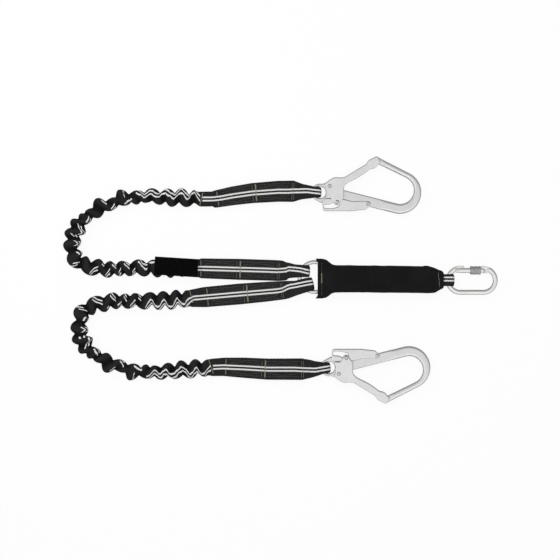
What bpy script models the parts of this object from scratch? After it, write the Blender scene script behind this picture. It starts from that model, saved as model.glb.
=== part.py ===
"""Twin-leg elastic shock-absorbing lanyard, laid out flat and seen from above.

Metres, +Z up. The origin is the middle of the absorber's resting face, +X runs towards the
oval carabiner and the two hooks lie on either side in Y. The upper leg is the one at +Y.
"""

import math

import bmesh
import bpy
import numpy as np
from mathutils import Matrix, Vector

MM = 0.001

# Fits shared by all the pieces
SEAT_GAP = 0.3 * MM  # between faces that touch on the real lanyard
WEB_THICK = 2.2 * MM  # one layer of webbing
STITCH_GAP = 0.3 * MM  # between two layers sewn together

# Height of the middle plane of all the metal parts, set by the thickest hook rivet
FRAME_HALF = 5.5 * MM
LEVER_WALL = 2.0 * MM
CHEEK_CLEAR = 0.5 * MM
GATE_WALL = 1.8 * MM
RIVET_HEAD_HIGH = 1.0 * MM
LEVER_INNER = FRAME_HALF + SEAT_GAP
LEVER_OUTER = LEVER_INNER + LEVER_WALL
GATE_INNER = LEVER_OUTER + CHEEK_CLEAR
GATE_OUTER = GATE_INNER + GATE_WALL
RIVET_HALF = GATE_OUTER + SEAT_GAP + RIVET_HEAD_HIGH
MID_Z = RIVET_HALF

# Hook, in its own plane with the eye's centre at zero
EYE_HOLE = 12.3 * MM
EYE_RIM = 5.7 * MM
GATE_PIVOT = Vector((20.0 * MM, 12.7 * MM))
GATE_BOSS = 10.0 * MM
LATCH_PIN = Vector((35.8 * MM, -20.2 * MM))
LEVER_PIVOT = Vector((99.8 * MM, -24.3 * MM))
RIVET_SHANK = 2.4 * MM
RIVET_HEAD = 3.0 * MM
BOW_CENTRE = Vector((166.2 * MM, 0.0))
BOW_OUTER = 44.5 * MM
BOW_INNER_CENTRE = Vector((166.9 * MM, 4.7 * MM))
BOW_INNER = 28.6 * MM
NOSE_SLOPE = 27.0  # degrees the nose side leans below the X axis
BACK_SLOPE = 14.4  # degrees the spine leans below the X axis
FRAME_ROUND = 2.4 * MM
LEVER_SWEEP = 46.0 * MM  # radius of the window that the latch pin sweeps
NOTCH_CLEAR = 1.0 * MM
GATE_WEB = 2.0 * MM
LEVER_WEB = 2.0 * MM
LEVER_GRIP = -38.7 * MM  # outer face of the part of the lever that the hand squeezes
CUT_DEEP = 12.0 * MM  # half depth of a shape that cuts right through

# Torsion springs inside the hook
SPRING_TURNS = 2
COIL_GAP = 0.55 * MM
GATE_POCKET_HALF = 2.9 * MM
LEVER_POCKET_HALF = 2.6 * MM
GATE_WIRE = 0.7 * MM
GATE_COIL = 4.4 * MM
LEVER_WIRE = 0.6 * MM
LEVER_COIL = 3.7 * MM
POCKET_CLEAR = 1.6 * MM
GATE_SLOT_REACH = 47.0 * MM  # slots that the springs' legs swing in, and their angles in degrees
GATE_SLOT_FAN = (48, -27)
LEVER_SLOT_REACH = 16.0 * MM
LEVER_SLOT_FAN = (188, 270)
GATE_SPRING_TIP = Vector((62.0 * MM, 27.3 * MM))
LEVER_SPRING_TIP = Vector((72.0 * MM, -35.6 * MM))
COIL_POINTS = 10  # points to a turn

# Where the hooks, the ring and the carabiner lie
HOOK_UPPER_EYE = Vector((-122.9 * MM, 180.0 * MM))
HOOK_LOWER_EYE = Vector((-104.0 * MM, -184.2 * MM))
RING_CENTRE = Vector((-134.2 * MM, 4.1 * MM))
CARABINER_CENTRE = Vector((168.9 * MM, -2.7 * MM))

# Ring
RING_RADIUS = 31.0 * MM
RING_BAR = 4.0 * MM

# Carabiner, in its own plane with the centre of its left end at zero
OVAL_RADIUS = 25.0 * MM
OVAL_BAR = 5.0 * MM
OVAL_LENGTH = 48.0 * MM
NOSE_END = -10.0 * MM
GATE_START = -9.2 * MM
GATE_AXIS = 20.5 * MM
GATE_ROD = 5.0 * MM
GATE_DOME = 52.5 * MM
HINGE = Vector((49.7 * MM, 18.6 * MM))
HINGE_TAB = 4.6 * MM
HINGE_TAB_HALF = 2.2 * MM
HINGE_SHANK = 1.9 * MM
HINGE_HEAD = 2.7 * MM
HINGE_SWING = 8.8 * MM
TONGUE_END = 7.9 * MM
TONGUE_TOP = 30.0 * MM
TONGUE_HALF = 3.5 * MM
KEY_HALF = 1.5 * MM
KEY_END = -0.8 * MM
KEY_PIN = Vector((-5.0 * MM, 20.5 * MM))
KEY_PIN_RADIUS = 1.25 * MM
SLEEVE_START = 20.8 * MM
SLEEVE_LENGTH = 21.8 * MM
SLEEVE_RADIUS = 8.7 * MM
SLEEVE_GROOVE = 1.0 * MM
PLUNGER_RADIUS = 1.7 * MM
PLUNGER_LENGTH = 4.6 * MM
PLUNGER_SPRING = 9.0 * MM

# Webbing: how far before its fold a strap stands fully open, and the absorber's pack
EYE_REACH = 13.2 * MM
RING_REACH = 15.5 * MM
COVER_WALL = 1.6 * MM
PACK_LAYERS = 9
PACK_LEFT = -84.0 * MM
PACK_RIGHT = 98.0 * MM
PACK_HALF_WIDTH = 19.4 * MM

# Elastic legs
TUBE_HALF_HIGH = 9.8 * MM
TUBE_END_WIDTH = 17.4 * MM
TUBE_END_HIGH = 3.6 * MM
TUBE_END_TAPER = 12.0 * MM
TUBE_TAPER = 30.0 * MM
TUBE_SIDES = 8
VALLEY_REACH = 7.6 * MM  # least half width in the valleys between two lobes
VALLEY_SLOPE = 0.42  # how much shallower a valley is where its lobes are close
LOBE_SPAN = 28.0 * MM  # of the first and the last lobe, which have one neighbour
CORE_RADIUS = 3.4 * MM
BORE_RADIUS = 4.2 * MM
BORE_STEP = 17.0 * MM
LABEL_CENTRE = Vector((-421.4 * MM, 23.6 * MM))
LABEL_LENGTH = 90.0 * MM
LABEL_HALF_WIDTH = 19.4 * MM
LABEL_WALL = 0.8 * MM
LABEL_TURN = -1.5

# Lobes of the gathered webbing on each side of a leg: how far along, and how far out, in mm
UPPER_INNER_LOBES = [
    (28, 17.7), (59, 20), (84, 16.9), (115, 12.5), (133, 14.6), (156, 13.8), (190, 14.6),
    (222, 16.5), (248, 13), (277, 20.3), (304, 16.9), (336, 19.1), (362, 19.4), (395, 19.7),
    (420, 16.6), (444, 16.8), (480, 18.5), (512, 17), (540, 17), (567, 17),
]  # fmt: skip
UPPER_OUTER_LOBES = [
    (10, 20.5), (40, 20.9), (67, 18.1), (101, 17.9), (130, 15.4), (165, 22.5), (182, 11.2),
    (210, 22.5), (238, 12.3), (251, 14.7), (269, 20.5), (291, 21.5), (313, 19.8), (341, 18),
    (382, 17.7), (416, 18.7), (440, 15.6), (459, 16.4), (491, 18.4), (518, 21.4), (547, 21.9),
    (570, 18),
]  # fmt: skip
LOWER_INNER_LOBES = [
    (6, 16.5), (30, 20.4), (61, 22), (88, 18.8), (119, 13.5), (135, 15.3), (159, 14.6), (192, 16),
    (226, 17), (249, 14), (284, 21.5), (309, 16.4), (339, 14.8), (360, 18), (396, 20.9),
    (421, 17.4), (445, 17.4), (481, 19.5), (510, 21.3), (536, 21), (562, 18.4),
]  # fmt: skip
LOWER_OUTER_LOBES = [
    (14, 19.4), (43, 18.6), (75, 16), (104, 16.9), (131, 15), (167, 22.5), (185, 10.3), (214, 22),
    (241, 11.8), (255, 14.9), (273, 19.6), (294, 21.5), (315, 21), (344, 22), (378, 16.5),
    (416, 18.3), (441, 14.9), (460, 16), (493, 17), (519, 18.7), (547, 21), (571, 18.5),
]  # fmt: skip

LEG_UPPER_ROUTE = [
    (-372, 166), (-388, 165.7), (-410, 168), (-438, 170), (-472, 171), (-505, 169), (-536, 164),
    (-564, 154), (-590, 141), (-613, 124), (-629, 103), (-636, 80), (-637, 57),
    (-629, 39), (-612, 28), (-589, 23), (-565, 21), (-541, 21), (-515, 22),
    (-490, 23), (-465, 24), (-440, 24), (-420, 22.6), (-403, 22), (-387, 22),
]  # fmt: skip
LEG_LOWER_ROUTE = [
    (-350, -184), (-366, -184.8), (-392, -188.5), (-421, -192), (-448, -193), (-473, -193),
    (-497, -192), (-520, -188), (-543, -182), (-564, -173), (-584, -162), (-601, -149),
    (-613, -135), (-619, -119), (-621, -101), (-619, -84), (-612, -69), (-601, -58),
    (-587, -51), (-570, -48), (-549, -46), (-525, -45), (-500, -45), (-475, -44),
    (-450, -43.6), (-426, -43.4), (-408, -42), (-392, -40.5),
]  # fmt: skip

# Straps in plan, in mm: x, y and half width at each point. A strap's last point, at the outer
# face of its fold, is worked out from the bar that it goes round, as fold_past gives it.
UPPER_HOOK_PLAN = [
    (-371.4, 166, 17.4), (-345, 166.5, 16.5), (-304, 172.8, 19), (-263, 178.6, 20.3),
    (-210, 182.3, 21.2), (-178, 182.4, 21.6), (-160, 181.6, 15.4), (-136, 180.4, 11.2),
]  # fmt: skip
UPPER_RING_PLAN = [
    (-386.6, 22, 17.4), (-377, 22, 17.8), (-369, 22, 20.2), (-291, 19.9, 21.3), (-232, 18.8, 21.2),
    (-206, 18.2, 21.2), (-194, 19.4, 15.6), (-180, 18.6, 12.9), (-162, 16.8, 12.0),
]  # fmt: skip
LOWER_HOOK_PLAN = [
    (-349.4, -184, 17.4), (-324, -182.8, 18.5), (-282, -184.6, 20.5), (-231, -187.6, 21.4),
    (-160, -187.6, 21.8), (-142, -186, 16), (-122, -184.6, 11.2),
]  # fmt: skip
LOWER_RING_PLAN = [
    (-391.6, -40.5, 17.4), (-363, -37.8, 20.5), (-291, -31.4, 21.2), (-232, -26.4, 20.5),
    (-203, -23.8, 19.4), (-193, -22.6, 18.9), (-172, -18.4, 15.2), (-157, -14.6, 13.6),
]  # fmt: skip
RING_STRAP_PLAN = [(-87.3, 3.6, 21), (-94.8, 3.7, 19), (-99.2, 4.1, 14.4)]
OVAL_STRAP_PLAN = [(102.1, -0.6, 20), (118, -1.6, 17), (126, -2.4, 11.9)]

# Where each fold lies: how far in Y from the middle of the eye, ring or carabiner, how far
# past the bar's middle, and its half width
HOOK_FOLD = (0.0, 18.0 * MM, 10.0)
UPPER_RING_FOLD = (11.6 * MM, 18.5 * MM, 11.4)
LOWER_RING_FOLD = (-13.3 * MM, 23.4 * MM, 13.0)
ABSORBER_RING_FOLD = (0.0, 11.0 * MM, 13.6)
OVAL_FOLD = (0.1 * MM, 12.7 * MM, 11.9)

# How far along its plan a strap's two layers part, and where the lower one ends
UPPER_HOOK_PART = 196 * MM
LOWER_HOOK_PART = 192 * MM
HOOK_RETURN = 27 * MM
UPPER_RING_PART = 185 * MM
LOWER_RING_PART = 190 * MM
RING_RETURN = 8 * MM
RING_STRAP_OPEN = 3.4 * MM  # how far short of the bar the absorber's ring strap parts
RING_STRAP_REACH = 6.5 * MM
OVAL_STRAP_PART = 26 * MM
OVAL_STRAP_REACH = 4 * MM
HIDDEN_RETURN = 1 * MM

# Absorber cover, in mm: x, middle in y, half width, bottom, top, corner radius, hollow of the hem
COVER_STATIONS = [
    (-129, 0.8, 42.0, 1.6, 21.4, 7.0, 15.0),
    (-118, 0.8, 41.4, 1.4, 22.0, 7.0, 8.0),
    (-110, 0.6, 39.6, 1.0, 23.4, 7.0, 3.0),
    (-104, 0.4, 35.4, 0.6, 25.2, 7.5, 0.0),
    (-98, 0.3, 30.4, 0.2, 27.0, 8.0, 0.0),
    (-91, 0.3, 28.4, 0.0, 29.2, 8.0, 0.0),
    (-40, 0.1, 28.1, 0.0, 30.0, 8.0, 0.0),
    (40, -0.8, 28.1, 0.0, 30.0, 8.0, 0.0),
    (98, -1.6, 27.9, 0.0, 29.6, 8.0, 0.0),
    (110, -2.4, 26.4, 0.4, 27.4, 8.0, 0.0),
    (120, -2.8, 23.0, 1.4, 24.6, 8.0, 0.0),
    (128, -2.8, 19.6, 2.6, 21.6, 6.5, 0.0),
    (134.2, -2.7, 16.4, 3.8, 19.0, 5.0, 0.0),
]


def clear_scene():
    for item in list(bpy.data.objects):
        bpy.data.objects.remove(item)


clear_scene()
PARTS = bpy.data.collections.new("twin_lanyard")
CUTTERS = bpy.data.collections.new("cutters")
bpy.context.scene.collection.children.link(PARTS)
bpy.context.scene.collection.children.link(CUTTERS)


def finish(name, colour, roughness, metallic=0.0):
    """A material with one plain finish."""
    material = bpy.data.materials.new(name)
    material.use_nodes = True
    shader = material.node_tree.nodes["Principled BSDF"]
    shader.inputs["Base Color"].default_value = (*colour, 1.0)
    shader.inputs["Roughness"].default_value = roughness
    shader.inputs["Metallic"].default_value = metallic
    return material


ALLOY = finish("satin_alloy", (0.72, 0.72, 0.71), 0.34, 0.9)
STEEL = finish("bright_zinc_steel", (0.78, 0.78, 0.76), 0.22, 1.0)
SLEEVE_STEEL = finish("grey_sleeve", (0.22, 0.22, 0.22), 0.45, 0.7)
SPRING_STEEL = finish("spring_steel", (0.45, 0.45, 0.45), 0.3, 1.0)
WEBBING = finish("black_webbing", (0.02, 0.02, 0.022), 0.85)
COVER_CLOTH = finish("cover_cloth", (0.012, 0.012, 0.013), 0.8)
LABEL_FILM = finish("label_film", (0.008, 0.008, 0.008), 0.4)
CORE_RUBBER = finish("core_rubber", (0.05, 0.05, 0.05), 0.7)


def empty(name, place, parent=None):
    """An empty that carries a body, on the axis that the body turns about."""
    holder = bpy.data.objects.new(name, None)
    holder.empty_display_size = 0.02
    holder.location = place
    holder.parent = parent
    PARTS.objects.link(holder)
    return holder


def new_object(name, mesh, material=None):
    piece = bpy.data.objects.new(name, mesh)
    if material:
        mesh.materials.clear()
        mesh.materials.append(material)
    PARTS.objects.link(piece)
    return piece


def evaluated_mesh(piece):
    """The piece's mesh with all of its modifiers, welded at its caps."""
    bpy.context.view_layer.update()
    graph = bpy.context.evaluated_depsgraph_get()
    mesh = bpy.data.meshes.new_from_object(piece.evaluated_get(graph))
    loose = bmesh.new()
    loose.from_mesh(mesh)
    bmesh.ops.remove_doubles(loose, verts=loose.verts, dist=1e-6)
    bmesh.ops.recalc_face_normals(loose, faces=loose.faces)
    loose.to_mesh(mesh)
    loose.free()
    return mesh


def as_mesh(piece, material=None):
    """Turns a curve, or a mesh with modifiers, into a plain mesh object of the same name."""
    mesh = evaluated_mesh(piece)
    name = piece.name
    place = piece.matrix_world.copy()
    bpy.data.objects.remove(piece)
    solid = new_object(name, mesh, material)
    solid.matrix_world = place
    return solid


def combine(piece, tool, operation):
    """Applies one exact Boolean and keeps its tool as a hidden guide."""
    modifier = piece.modifiers.new(operation.lower(), "BOOLEAN")
    modifier.operation = operation
    modifier.solver = "EXACT"
    modifier.object = tool
    mesh = evaluated_mesh(piece)
    piece.modifiers.clear()
    piece.data = mesh
    PARTS.objects.unlink(tool)
    CUTTERS.objects.link(tool)
    tool.hide_render = True
    tool.display_type = "WIRE"
    return piece


def cut(piece, tool):
    return combine(piece, tool, "DIFFERENCE")


def join(piece, tool):
    return combine(piece, tool, "UNION")


def soften(piece, width, segments=1, angle=40.0):
    """Rounds the edges sharper than the angle, and applies the rounding."""
    modifier = piece.modifiers.new("soften", "BEVEL")
    modifier.width = width
    modifier.segments = segments
    modifier.limit_method = "ANGLE"
    modifier.angle_limit = math.radians(angle)
    piece.data = evaluated_mesh(piece)
    piece.modifiers.clear()
    return piece


def smooth(piece, angle=35.0):
    piece.data.shade_smooth()
    piece.data.set_sharp_from_angle(angle=math.radians(angle))
    return piece


def seat(piece, parent, place):
    """Parents a piece modelled in its parent's plane, with its origin moved to the place."""
    shift = Vector((place[0], place[1], 0.0))
    piece.data.transform(Matrix.Translation(-shift))
    piece.location = shift
    piece.parent = parent
    return smooth(piece)


def arc(centre, radius, start, end, steps):
    """Points on an arc, from one angle in degrees to another."""
    angles = np.radians(np.linspace(start, end, steps + 1))
    return [(centre[0] + radius * math.cos(a), centre[1] + radius * math.sin(a)) for a in angles]


def slab(name, outlines, half, material=None):
    """A flat piece from closed outlines, the first its edge and the others its holes."""
    curve = bpy.data.curves.new(name, "CURVE")
    curve.dimensions = "2D"
    curve.fill_mode = "BOTH"
    curve.extrude = half
    for outline in outlines:
        spline = curve.splines.new("POLY")
        spline.points.add(len(outline) - 1)
        for point, (x, y) in zip(spline.points, outline):
            point.co = (x, y, 0.0, 1.0)
        spline.use_cyclic_u = True
    piece = bpy.data.objects.new(name, curve)
    PARTS.objects.link(piece)
    return as_mesh(piece, material)


def mirrored(outline, side):
    return [(x, side * y) for x, y in outline]


def in_mm(points):
    return [(x * MM, y * MM) for x, y in points]


def turned(name, profile, steps, material=None):
    """Turns a profile of (radius, height) points, listed top to bottom, about Z."""
    mesh = bpy.data.meshes.new(name)
    corners = [(radius, 0.0, height) for radius, height in profile]
    mesh.from_pydata(corners, [(i, i + 1) for i in range(len(corners) - 1)], [])
    piece = new_object(name, mesh, material)
    screw = piece.modifiers.new("turn", "SCREW")
    screw.steps = steps
    screw.render_steps = steps
    screw.use_merge_vertices = True
    screw.merge_threshold = 0.00005
    return as_mesh(piece, material)


def rod(name, points, radius, resolution=2, material=None, cyclic=False):
    """A round bar or wire along a list of 3D points."""
    curve = bpy.data.curves.new(name, "CURVE")
    curve.dimensions = "3D"
    curve.bevel_depth = radius
    curve.bevel_resolution = resolution
    curve.use_fill_caps = True
    spline = curve.splines.new("POLY")
    spline.points.add(len(points) - 1)
    for point, place in zip(spline.points, points):
        point.co = (*place, 1.0)
    spline.use_cyclic_u = cyclic
    piece = bpy.data.objects.new(name, curve)
    PARTS.objects.link(piece)
    return as_mesh(piece, material)


def box(name, low, high, material=None):
    shape = bmesh.new()
    bmesh.ops.create_cube(shape, size=1.0)
    size = Vector(high) - Vector(low)
    centre = (Vector(high) + Vector(low)) / 2
    place = Matrix.Translation(centre) @ Matrix.Diagonal((*size, 1.0))
    bmesh.ops.transform(shape, matrix=place, verts=shape.verts)
    mesh = bpy.data.meshes.new(name)
    shape.to_mesh(mesh)
    shape.free()
    return new_object(name, mesh, material)


def pin(name, place, shank, head, half, head_high, material):
    """A rivet through the middle plane: shank, and a chamfered head at each end."""
    under = half - head_high
    rim = 0.3 * head_high
    lower = [(shank, -under), (head, -under), (head, -half + rim), (head - rim, -half), (0.0, -half)]
    upper = [(radius, -height) for radius, height in reversed(lower)]
    rivet = turned(name, upper + lower, 12, material)
    rivet.data.transform(Matrix.Translation((place[0], place[1], 0.0)))
    return rivet


# Hook
def frame_outline():
    """Outer edge of the hook frame: nose, bow, spine, latch recess, eye and gate boss."""
    rise = 90.0 - NOSE_SLOPE
    fall = -90.0 - BACK_SLOPE
    tongue = in_mm([(110, 64.5), (108.4, 67.5), (110.5, 71), (116, 72.4), (122.2, 72.3)])
    bow = arc(BOW_CENTRE, BOW_OUTER, rise, fall, 16)
    back = in_mm([(37.6, -13.2), (26, -13.5), (12.5, -16.0), (6, -21.5), (2.5, -21.8)])
    eye = arc((0, 0), EYE_HOLE + EYE_RIM, -124, -284, 11)
    boss = arc(GATE_PIVOT, GATE_BOSS, 128, 26, 6)
    inner = in_mm([(34, 9.6), (49.5, 4.7)])
    hollow = arc(BOW_INNER_CENTRE, BOW_INNER, fall, rise, 12)
    return tongue + bow + back + eye + boss + inner + hollow


def gate_outline():
    """Edge of a gate cheek: tail with the latch pin's lobe, arm, and tip over the nose."""
    top = [(9.6, 17.1), (14.5, 22), (21, 26.8), (27, 30.2), (32.4, 31.4), (41.8, 30.6), (50.3, 31.2)]
    tip = [(96.3, 59.1), (98, 63.2), (102.5, 67.6), (115.4, 74), (119.2, 74.3), (121, 73)]
    under = [(125.6, 64.1), (125.2, 62), (122.7, 59.1), (116.1, 51.8), (110.2, 49.5), (105, 48.6)]
    arm = [(98.6, 43.7), (82.6, 32.7), (60.5, 21.8), (54.6, 17.6), (50.8, 12.6), (49.6, 8)]
    lobe = arc(LATCH_PIN, 6.4 * MM, -5, -145, 6)
    tail = [(23.3, -12.5), (10.9, -12.5), (12.9, -4), (13.7, 5), (12.2, 12)]
    return in_mm(top + tip + under + arm + [(49.5, -11.5)]) + lobe + in_mm(tail)


def lever_outlines():
    """Edge of a lever cheek, and the window in it whose upper lug hooks over the latch pin."""
    knuckle = arc(LEVER_PIVOT, 6.0 * MM, 96, -58, 7)
    grip = in_mm([(95.9, -35.4), (66.8, -38.7), (10, -38.7), (6.4, -36), (5.2, -18.6)])
    top = in_mm([(7, -14.2), (12, -12.3), (40, -12.3), (49.5, -14.6), (66.8, -18.7), (88, -18.3)])
    sweep = arc(GATE_PIVOT, LEVER_SWEEP, -105, -64, 7)
    notch = arc(LATCH_PIN, RIVET_SHANK + NOTCH_CLEAR, -10, 128, 6)
    lug = in_mm([(28.8, -20.7), (24, -23.2), (19.5, -25), (12, -25), (9.4, -25.8), (8.2, -28)])
    return knuckle + grip + top, sweep + notch + lug


def least_gap(points, wire):
    """The smallest gap between lengths of a wire that aren't neighbours along it."""
    path = np.array(points)
    spans = np.linalg.norm(np.diff(path, axis=0), axis=1)
    along = np.concatenate([[0], np.cumsum(spans)])
    even = np.arange(0, along[-1], wire / 2)
    fine = np.column_stack([np.interp(even, along, path[:, axis]) for axis in range(3)])
    apart = np.linalg.norm(fine[:, None] - fine[None], axis=2)
    neighbours = np.abs(even[:, None] - even[None]) < 6 * wire
    apart[neighbours] = np.inf
    return apart.min() - 2 * wire


def torsion_spring(name, pivot, coil, wire, leg_end, side):
    """A close coil round a rivet, with one straight leg out to the piece that it pushes."""
    pivot = Vector((pivot[0], side * pivot[1]))
    leg_end = Vector((leg_end[0], side * leg_end[1]))
    pitch = 2 * wire + COIL_GAP
    out = (leg_end - pivot).normalized()
    across = Vector((-out.y, out.x)) * side
    low = -pitch * SPRING_TURNS / 2
    points = []
    for step in range(SPRING_TURNS * COIL_POINTS):
        turn = 2 * math.pi * step / COIL_POINTS
        spot = pivot + coil * (math.cos(turn) * out + math.sin(turn) * across)
        points.append((*spot, low + pitch * step / COIL_POINTS))
    last = pivot + coil * out + 2.2 * wire * across
    points.append((*last, -low))
    points.append((*leg_end, -low))
    start = pivot + coil * out - 2 * wire * across
    points.insert(0, (*start, low))
    print(name, "least gap", round(least_gap(points, wire) / MM, 2), "mm")
    return rod(name, points, wire, 1, SPRING_STEEL)


def hook(prefix, eye, side, parent):
    """One double-action hook. side is 1, or -1 for the mirror image."""
    holder = empty(prefix + "_swing", (eye[0], eye[1], 0.0), parent)
    gate_pivot = (GATE_PIVOT.x, side * GATE_PIVOT.y)
    lever_pivot = (LEVER_PIVOT.x, side * LEVER_PIVOT.y)
    latch = (LATCH_PIN.x, side * LATCH_PIN.y)
    hole = RIVET_SHANK + SEAT_GAP

    def circle(centre, radius, steps):
        return arc(centre, radius, 0, 360 - 360 / steps, steps - 1)

    eye_hole = circle((0, 0), EYE_HOLE, 20)
    frame = slab(prefix + "_frame", [mirrored(frame_outline(), side), eye_hole], FRAME_HALF, ALLOY)
    soften(frame, FRAME_ROUND, 1, 50)
    springs = (
        ("_gate_spring", GATE_PIVOT, GATE_COIL, GATE_POCKET_HALF, GATE_SLOT_REACH, GATE_SLOT_FAN),
        ("_lever_spring", LEVER_PIVOT, LEVER_COIL, LEVER_POCKET_HALF, LEVER_SLOT_REACH, LEVER_SLOT_FAN),
    )
    for kind, pivot, coil, half, reach, angles in springs:
        fan = [(pivot.x, side * pivot.y)] + mirrored(arc(pivot, reach, *angles, 5), side)
        cut(frame, slab(prefix + kind + "_slot", [fan], half))
        room = mirrored(arc(pivot, coil + POCKET_CLEAR, 0, 337.5, 15), side)
        cut(frame, slab(prefix + kind + "_pocket", [room], half))
    for centre in (gate_pivot, lever_pivot):
        drill = slab(prefix + "_rivet_hole", [circle(centre, hole, 12)], FRAME_HALF * 1.5)
        cut(frame, drill)
    seat(frame, holder, (0, 0))

    swing = empty(prefix + "_gate_axis", (*gate_pivot, 0), holder)
    cheeks = [mirrored(gate_outline(), side), circle(gate_pivot, hole, 12), circle(latch, hole, 12)]
    gate = slab(prefix + "_gate", cheeks, GATE_OUTER, ALLOY)
    soften(gate, 0.7 * MM, 1, 50)
    strip_low = [(58.5 * MM, 27.7 * MM), (119.0 * MM, 55.5 * MM)]
    strip_high = [(x, y + GATE_WEB) for x, y in reversed(strip_low)]
    around = in_mm([(-20, -60), (150, -60), (150, 90), (-20, 90)])
    channel = [mirrored(around, side), mirrored(strip_low + strip_high, side)]
    cut(gate, slab(prefix + "_gate_channel", channel, GATE_INNER))
    seat(gate, swing, gate_pivot)
    gate.location = (0, 0, 0)
    gate_rivet = pin(
        prefix + "_gate_rivet", gate_pivot, RIVET_SHANK, RIVET_HEAD, RIVET_HALF, RIVET_HEAD_HIGH, STEEL
    )
    seat(gate_rivet, holder, gate_pivot)
    latch_pin = pin(
        prefix + "_latch_pin", latch, RIVET_SHANK, RIVET_HEAD, RIVET_HALF, RIVET_HEAD_HIGH, STEEL
    )
    seat(latch_pin, swing, gate_pivot)
    latch_pin.location = (0, 0, 0)
    gate_spring = torsion_spring(
        prefix + "_gate_spring", GATE_PIVOT, GATE_COIL, GATE_WIRE, GATE_SPRING_TIP, side
    )
    seat(gate_spring, swing, gate_pivot)
    gate_spring.location = (0, 0, 0)

    squeeze = empty(prefix + "_lever_axis", (*lever_pivot, 0), holder)
    lever_faces = [mirrored(outline, side) for outline in lever_outlines()]
    lever_faces.append(circle(lever_pivot, hole, 12))
    lever = slab(prefix + "_lock_lever", lever_faces, LEVER_OUTER, ALLOY)
    soften(lever, 0.6 * MM, 1, 50)
    grip_top = LEVER_GRIP + LEVER_WEB
    inside = [(0, grip_top), (66.8 * MM, grip_top), (96 * MM, grip_top + 3.3 * MM)]
    inside += in_mm([(112, -28), (112, 0), (0, 0)])
    cut(lever, slab(prefix + "_lever_channel", [mirrored(inside, side)], LEVER_INNER))
    seat(lever, squeeze, lever_pivot)
    lever.location = (0, 0, 0)
    lever_rivet = pin(
        prefix + "_lever_rivet",
        lever_pivot,
        RIVET_SHANK,
        RIVET_HEAD,
        LEVER_OUTER + SEAT_GAP + RIVET_HEAD_HIGH,
        RIVET_HEAD_HIGH,
        STEEL,
    )
    seat(lever_rivet, holder, lever_pivot)
    lever_spring = torsion_spring(
        prefix + "_lever_spring", LEVER_PIVOT, LEVER_COIL, LEVER_WIRE, LEVER_SPRING_TIP, side
    )
    seat(lever_spring, squeeze, lever_pivot)
    lever_spring.location = (0, 0, 0)
    return holder


# Webbing
def strip(name, stations, material, thickness=WEB_THICK):
    """A ribbon of webbing: each station is (left edge, right edge) in 3D."""
    mesh = bpy.data.meshes.new(name)
    corners = [corner for pair in stations for corner in pair]
    faces = [(2 * i, 2 * i + 1, 2 * i + 3, 2 * i + 2) for i in range(len(stations) - 1)]
    mesh.from_pydata(corners, [], faces)
    piece = new_object(name, mesh, material)
    skin = piece.modifiers.new("thickness", "SOLIDIFY")
    skin.thickness = thickness
    skin.offset = 0.0
    skin.use_even_offset = True
    return as_mesh(piece, material)


def fold_past(plan, centre, radius, fold, side=-1):
    """The plan with its last point, past the bar that runs at a radius round a centre.

    side is -1 where the strap comes from the left, and 1 where it comes from the right.
    """
    across, past, half = fold
    bar = centre.x + side * math.sqrt(radius**2 - across**2)
    return plan + [((bar - side * past) / MM, (centre.y + across) / MM, half)]


class PlanLine:
    """A centre line in plan with a half width, read by the distance along it."""

    def __init__(self, points):
        self.points = np.array(points, float) * MM
        steps = np.diff(self.points[:, :2], axis=0)
        self.along = np.concatenate([[0], np.cumsum(np.hypot(steps[:, 0], steps[:, 1]))])
        heading = np.unwrap(np.arctan2(steps[:, 1], steps[:, 0]))
        inner = (heading[1:] + heading[:-1]) / 2
        self.heading = np.concatenate([[heading[0]], inner, [heading[-1]]])
        self.length = self.along[-1]

    def edges(self, distance, height):
        """The left and right edges of the webbing at a distance, at a height."""
        x, y, half = (np.interp(distance, self.along, self.points[:, i]) for i in range(3))
        angle = np.interp(distance, self.along, self.heading)
        nx = -math.sin(angle) * half
        ny = math.cos(angle) * half
        return (x + nx, y + ny, height), (x - nx, y - ny, height)


def loop_strap(name, plan, bar_half, bar_reach, part_at, return_at, parent):
    """A strap that runs out, goes round a bar, and is sewn back on itself.

    The plan ends at the outer face of the fold. The layers part at part_at, stand fully open
    bar_reach before the fold, and the lower one ends at return_at, a distance along the plan.
    """
    line = PlanLine(plan)
    sewn = (WEB_THICK + STITCH_GAP) / 2
    wrap = bar_half + SEAT_GAP + WEB_THICK / 2
    fold = line.length - wrap - WEB_THICK / 2
    full = fold - bar_reach
    upper = [(s, sewn) for s in line.along if s < part_at - 1e-9] + [(part_at, sewn)]
    for step in range(1, 7):
        share = step / 6
        ease = share * share * (3 - 2 * share)
        upper.append((part_at + share * (full - part_at), sewn + ease * (wrap - sewn)))
    upper.append((fold, wrap))
    bend = [(fold + wrap * math.sin(a), wrap * math.cos(a)) for a in np.radians(np.arange(20, 180, 20))]
    lower = [(s, -z) for s, z in reversed(upper) if s > return_at + 1 * MM] + [(return_at, -sewn)]
    stations = [line.edges(s, MID_Z + z) for s, z in upper + bend + lower]
    strap = strip(name, stations, WEBBING)
    return rooted(strap, parent)


def rooted(piece, parent):
    """Parents a piece modelled in world space to an empty that stands in the plane."""
    bpy.context.view_layer.update()
    place = parent.matrix_world.copy() if parent else Matrix.Identity(4)
    piece.data.transform(place.inverted())
    piece.parent = parent
    return smooth(piece)


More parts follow.
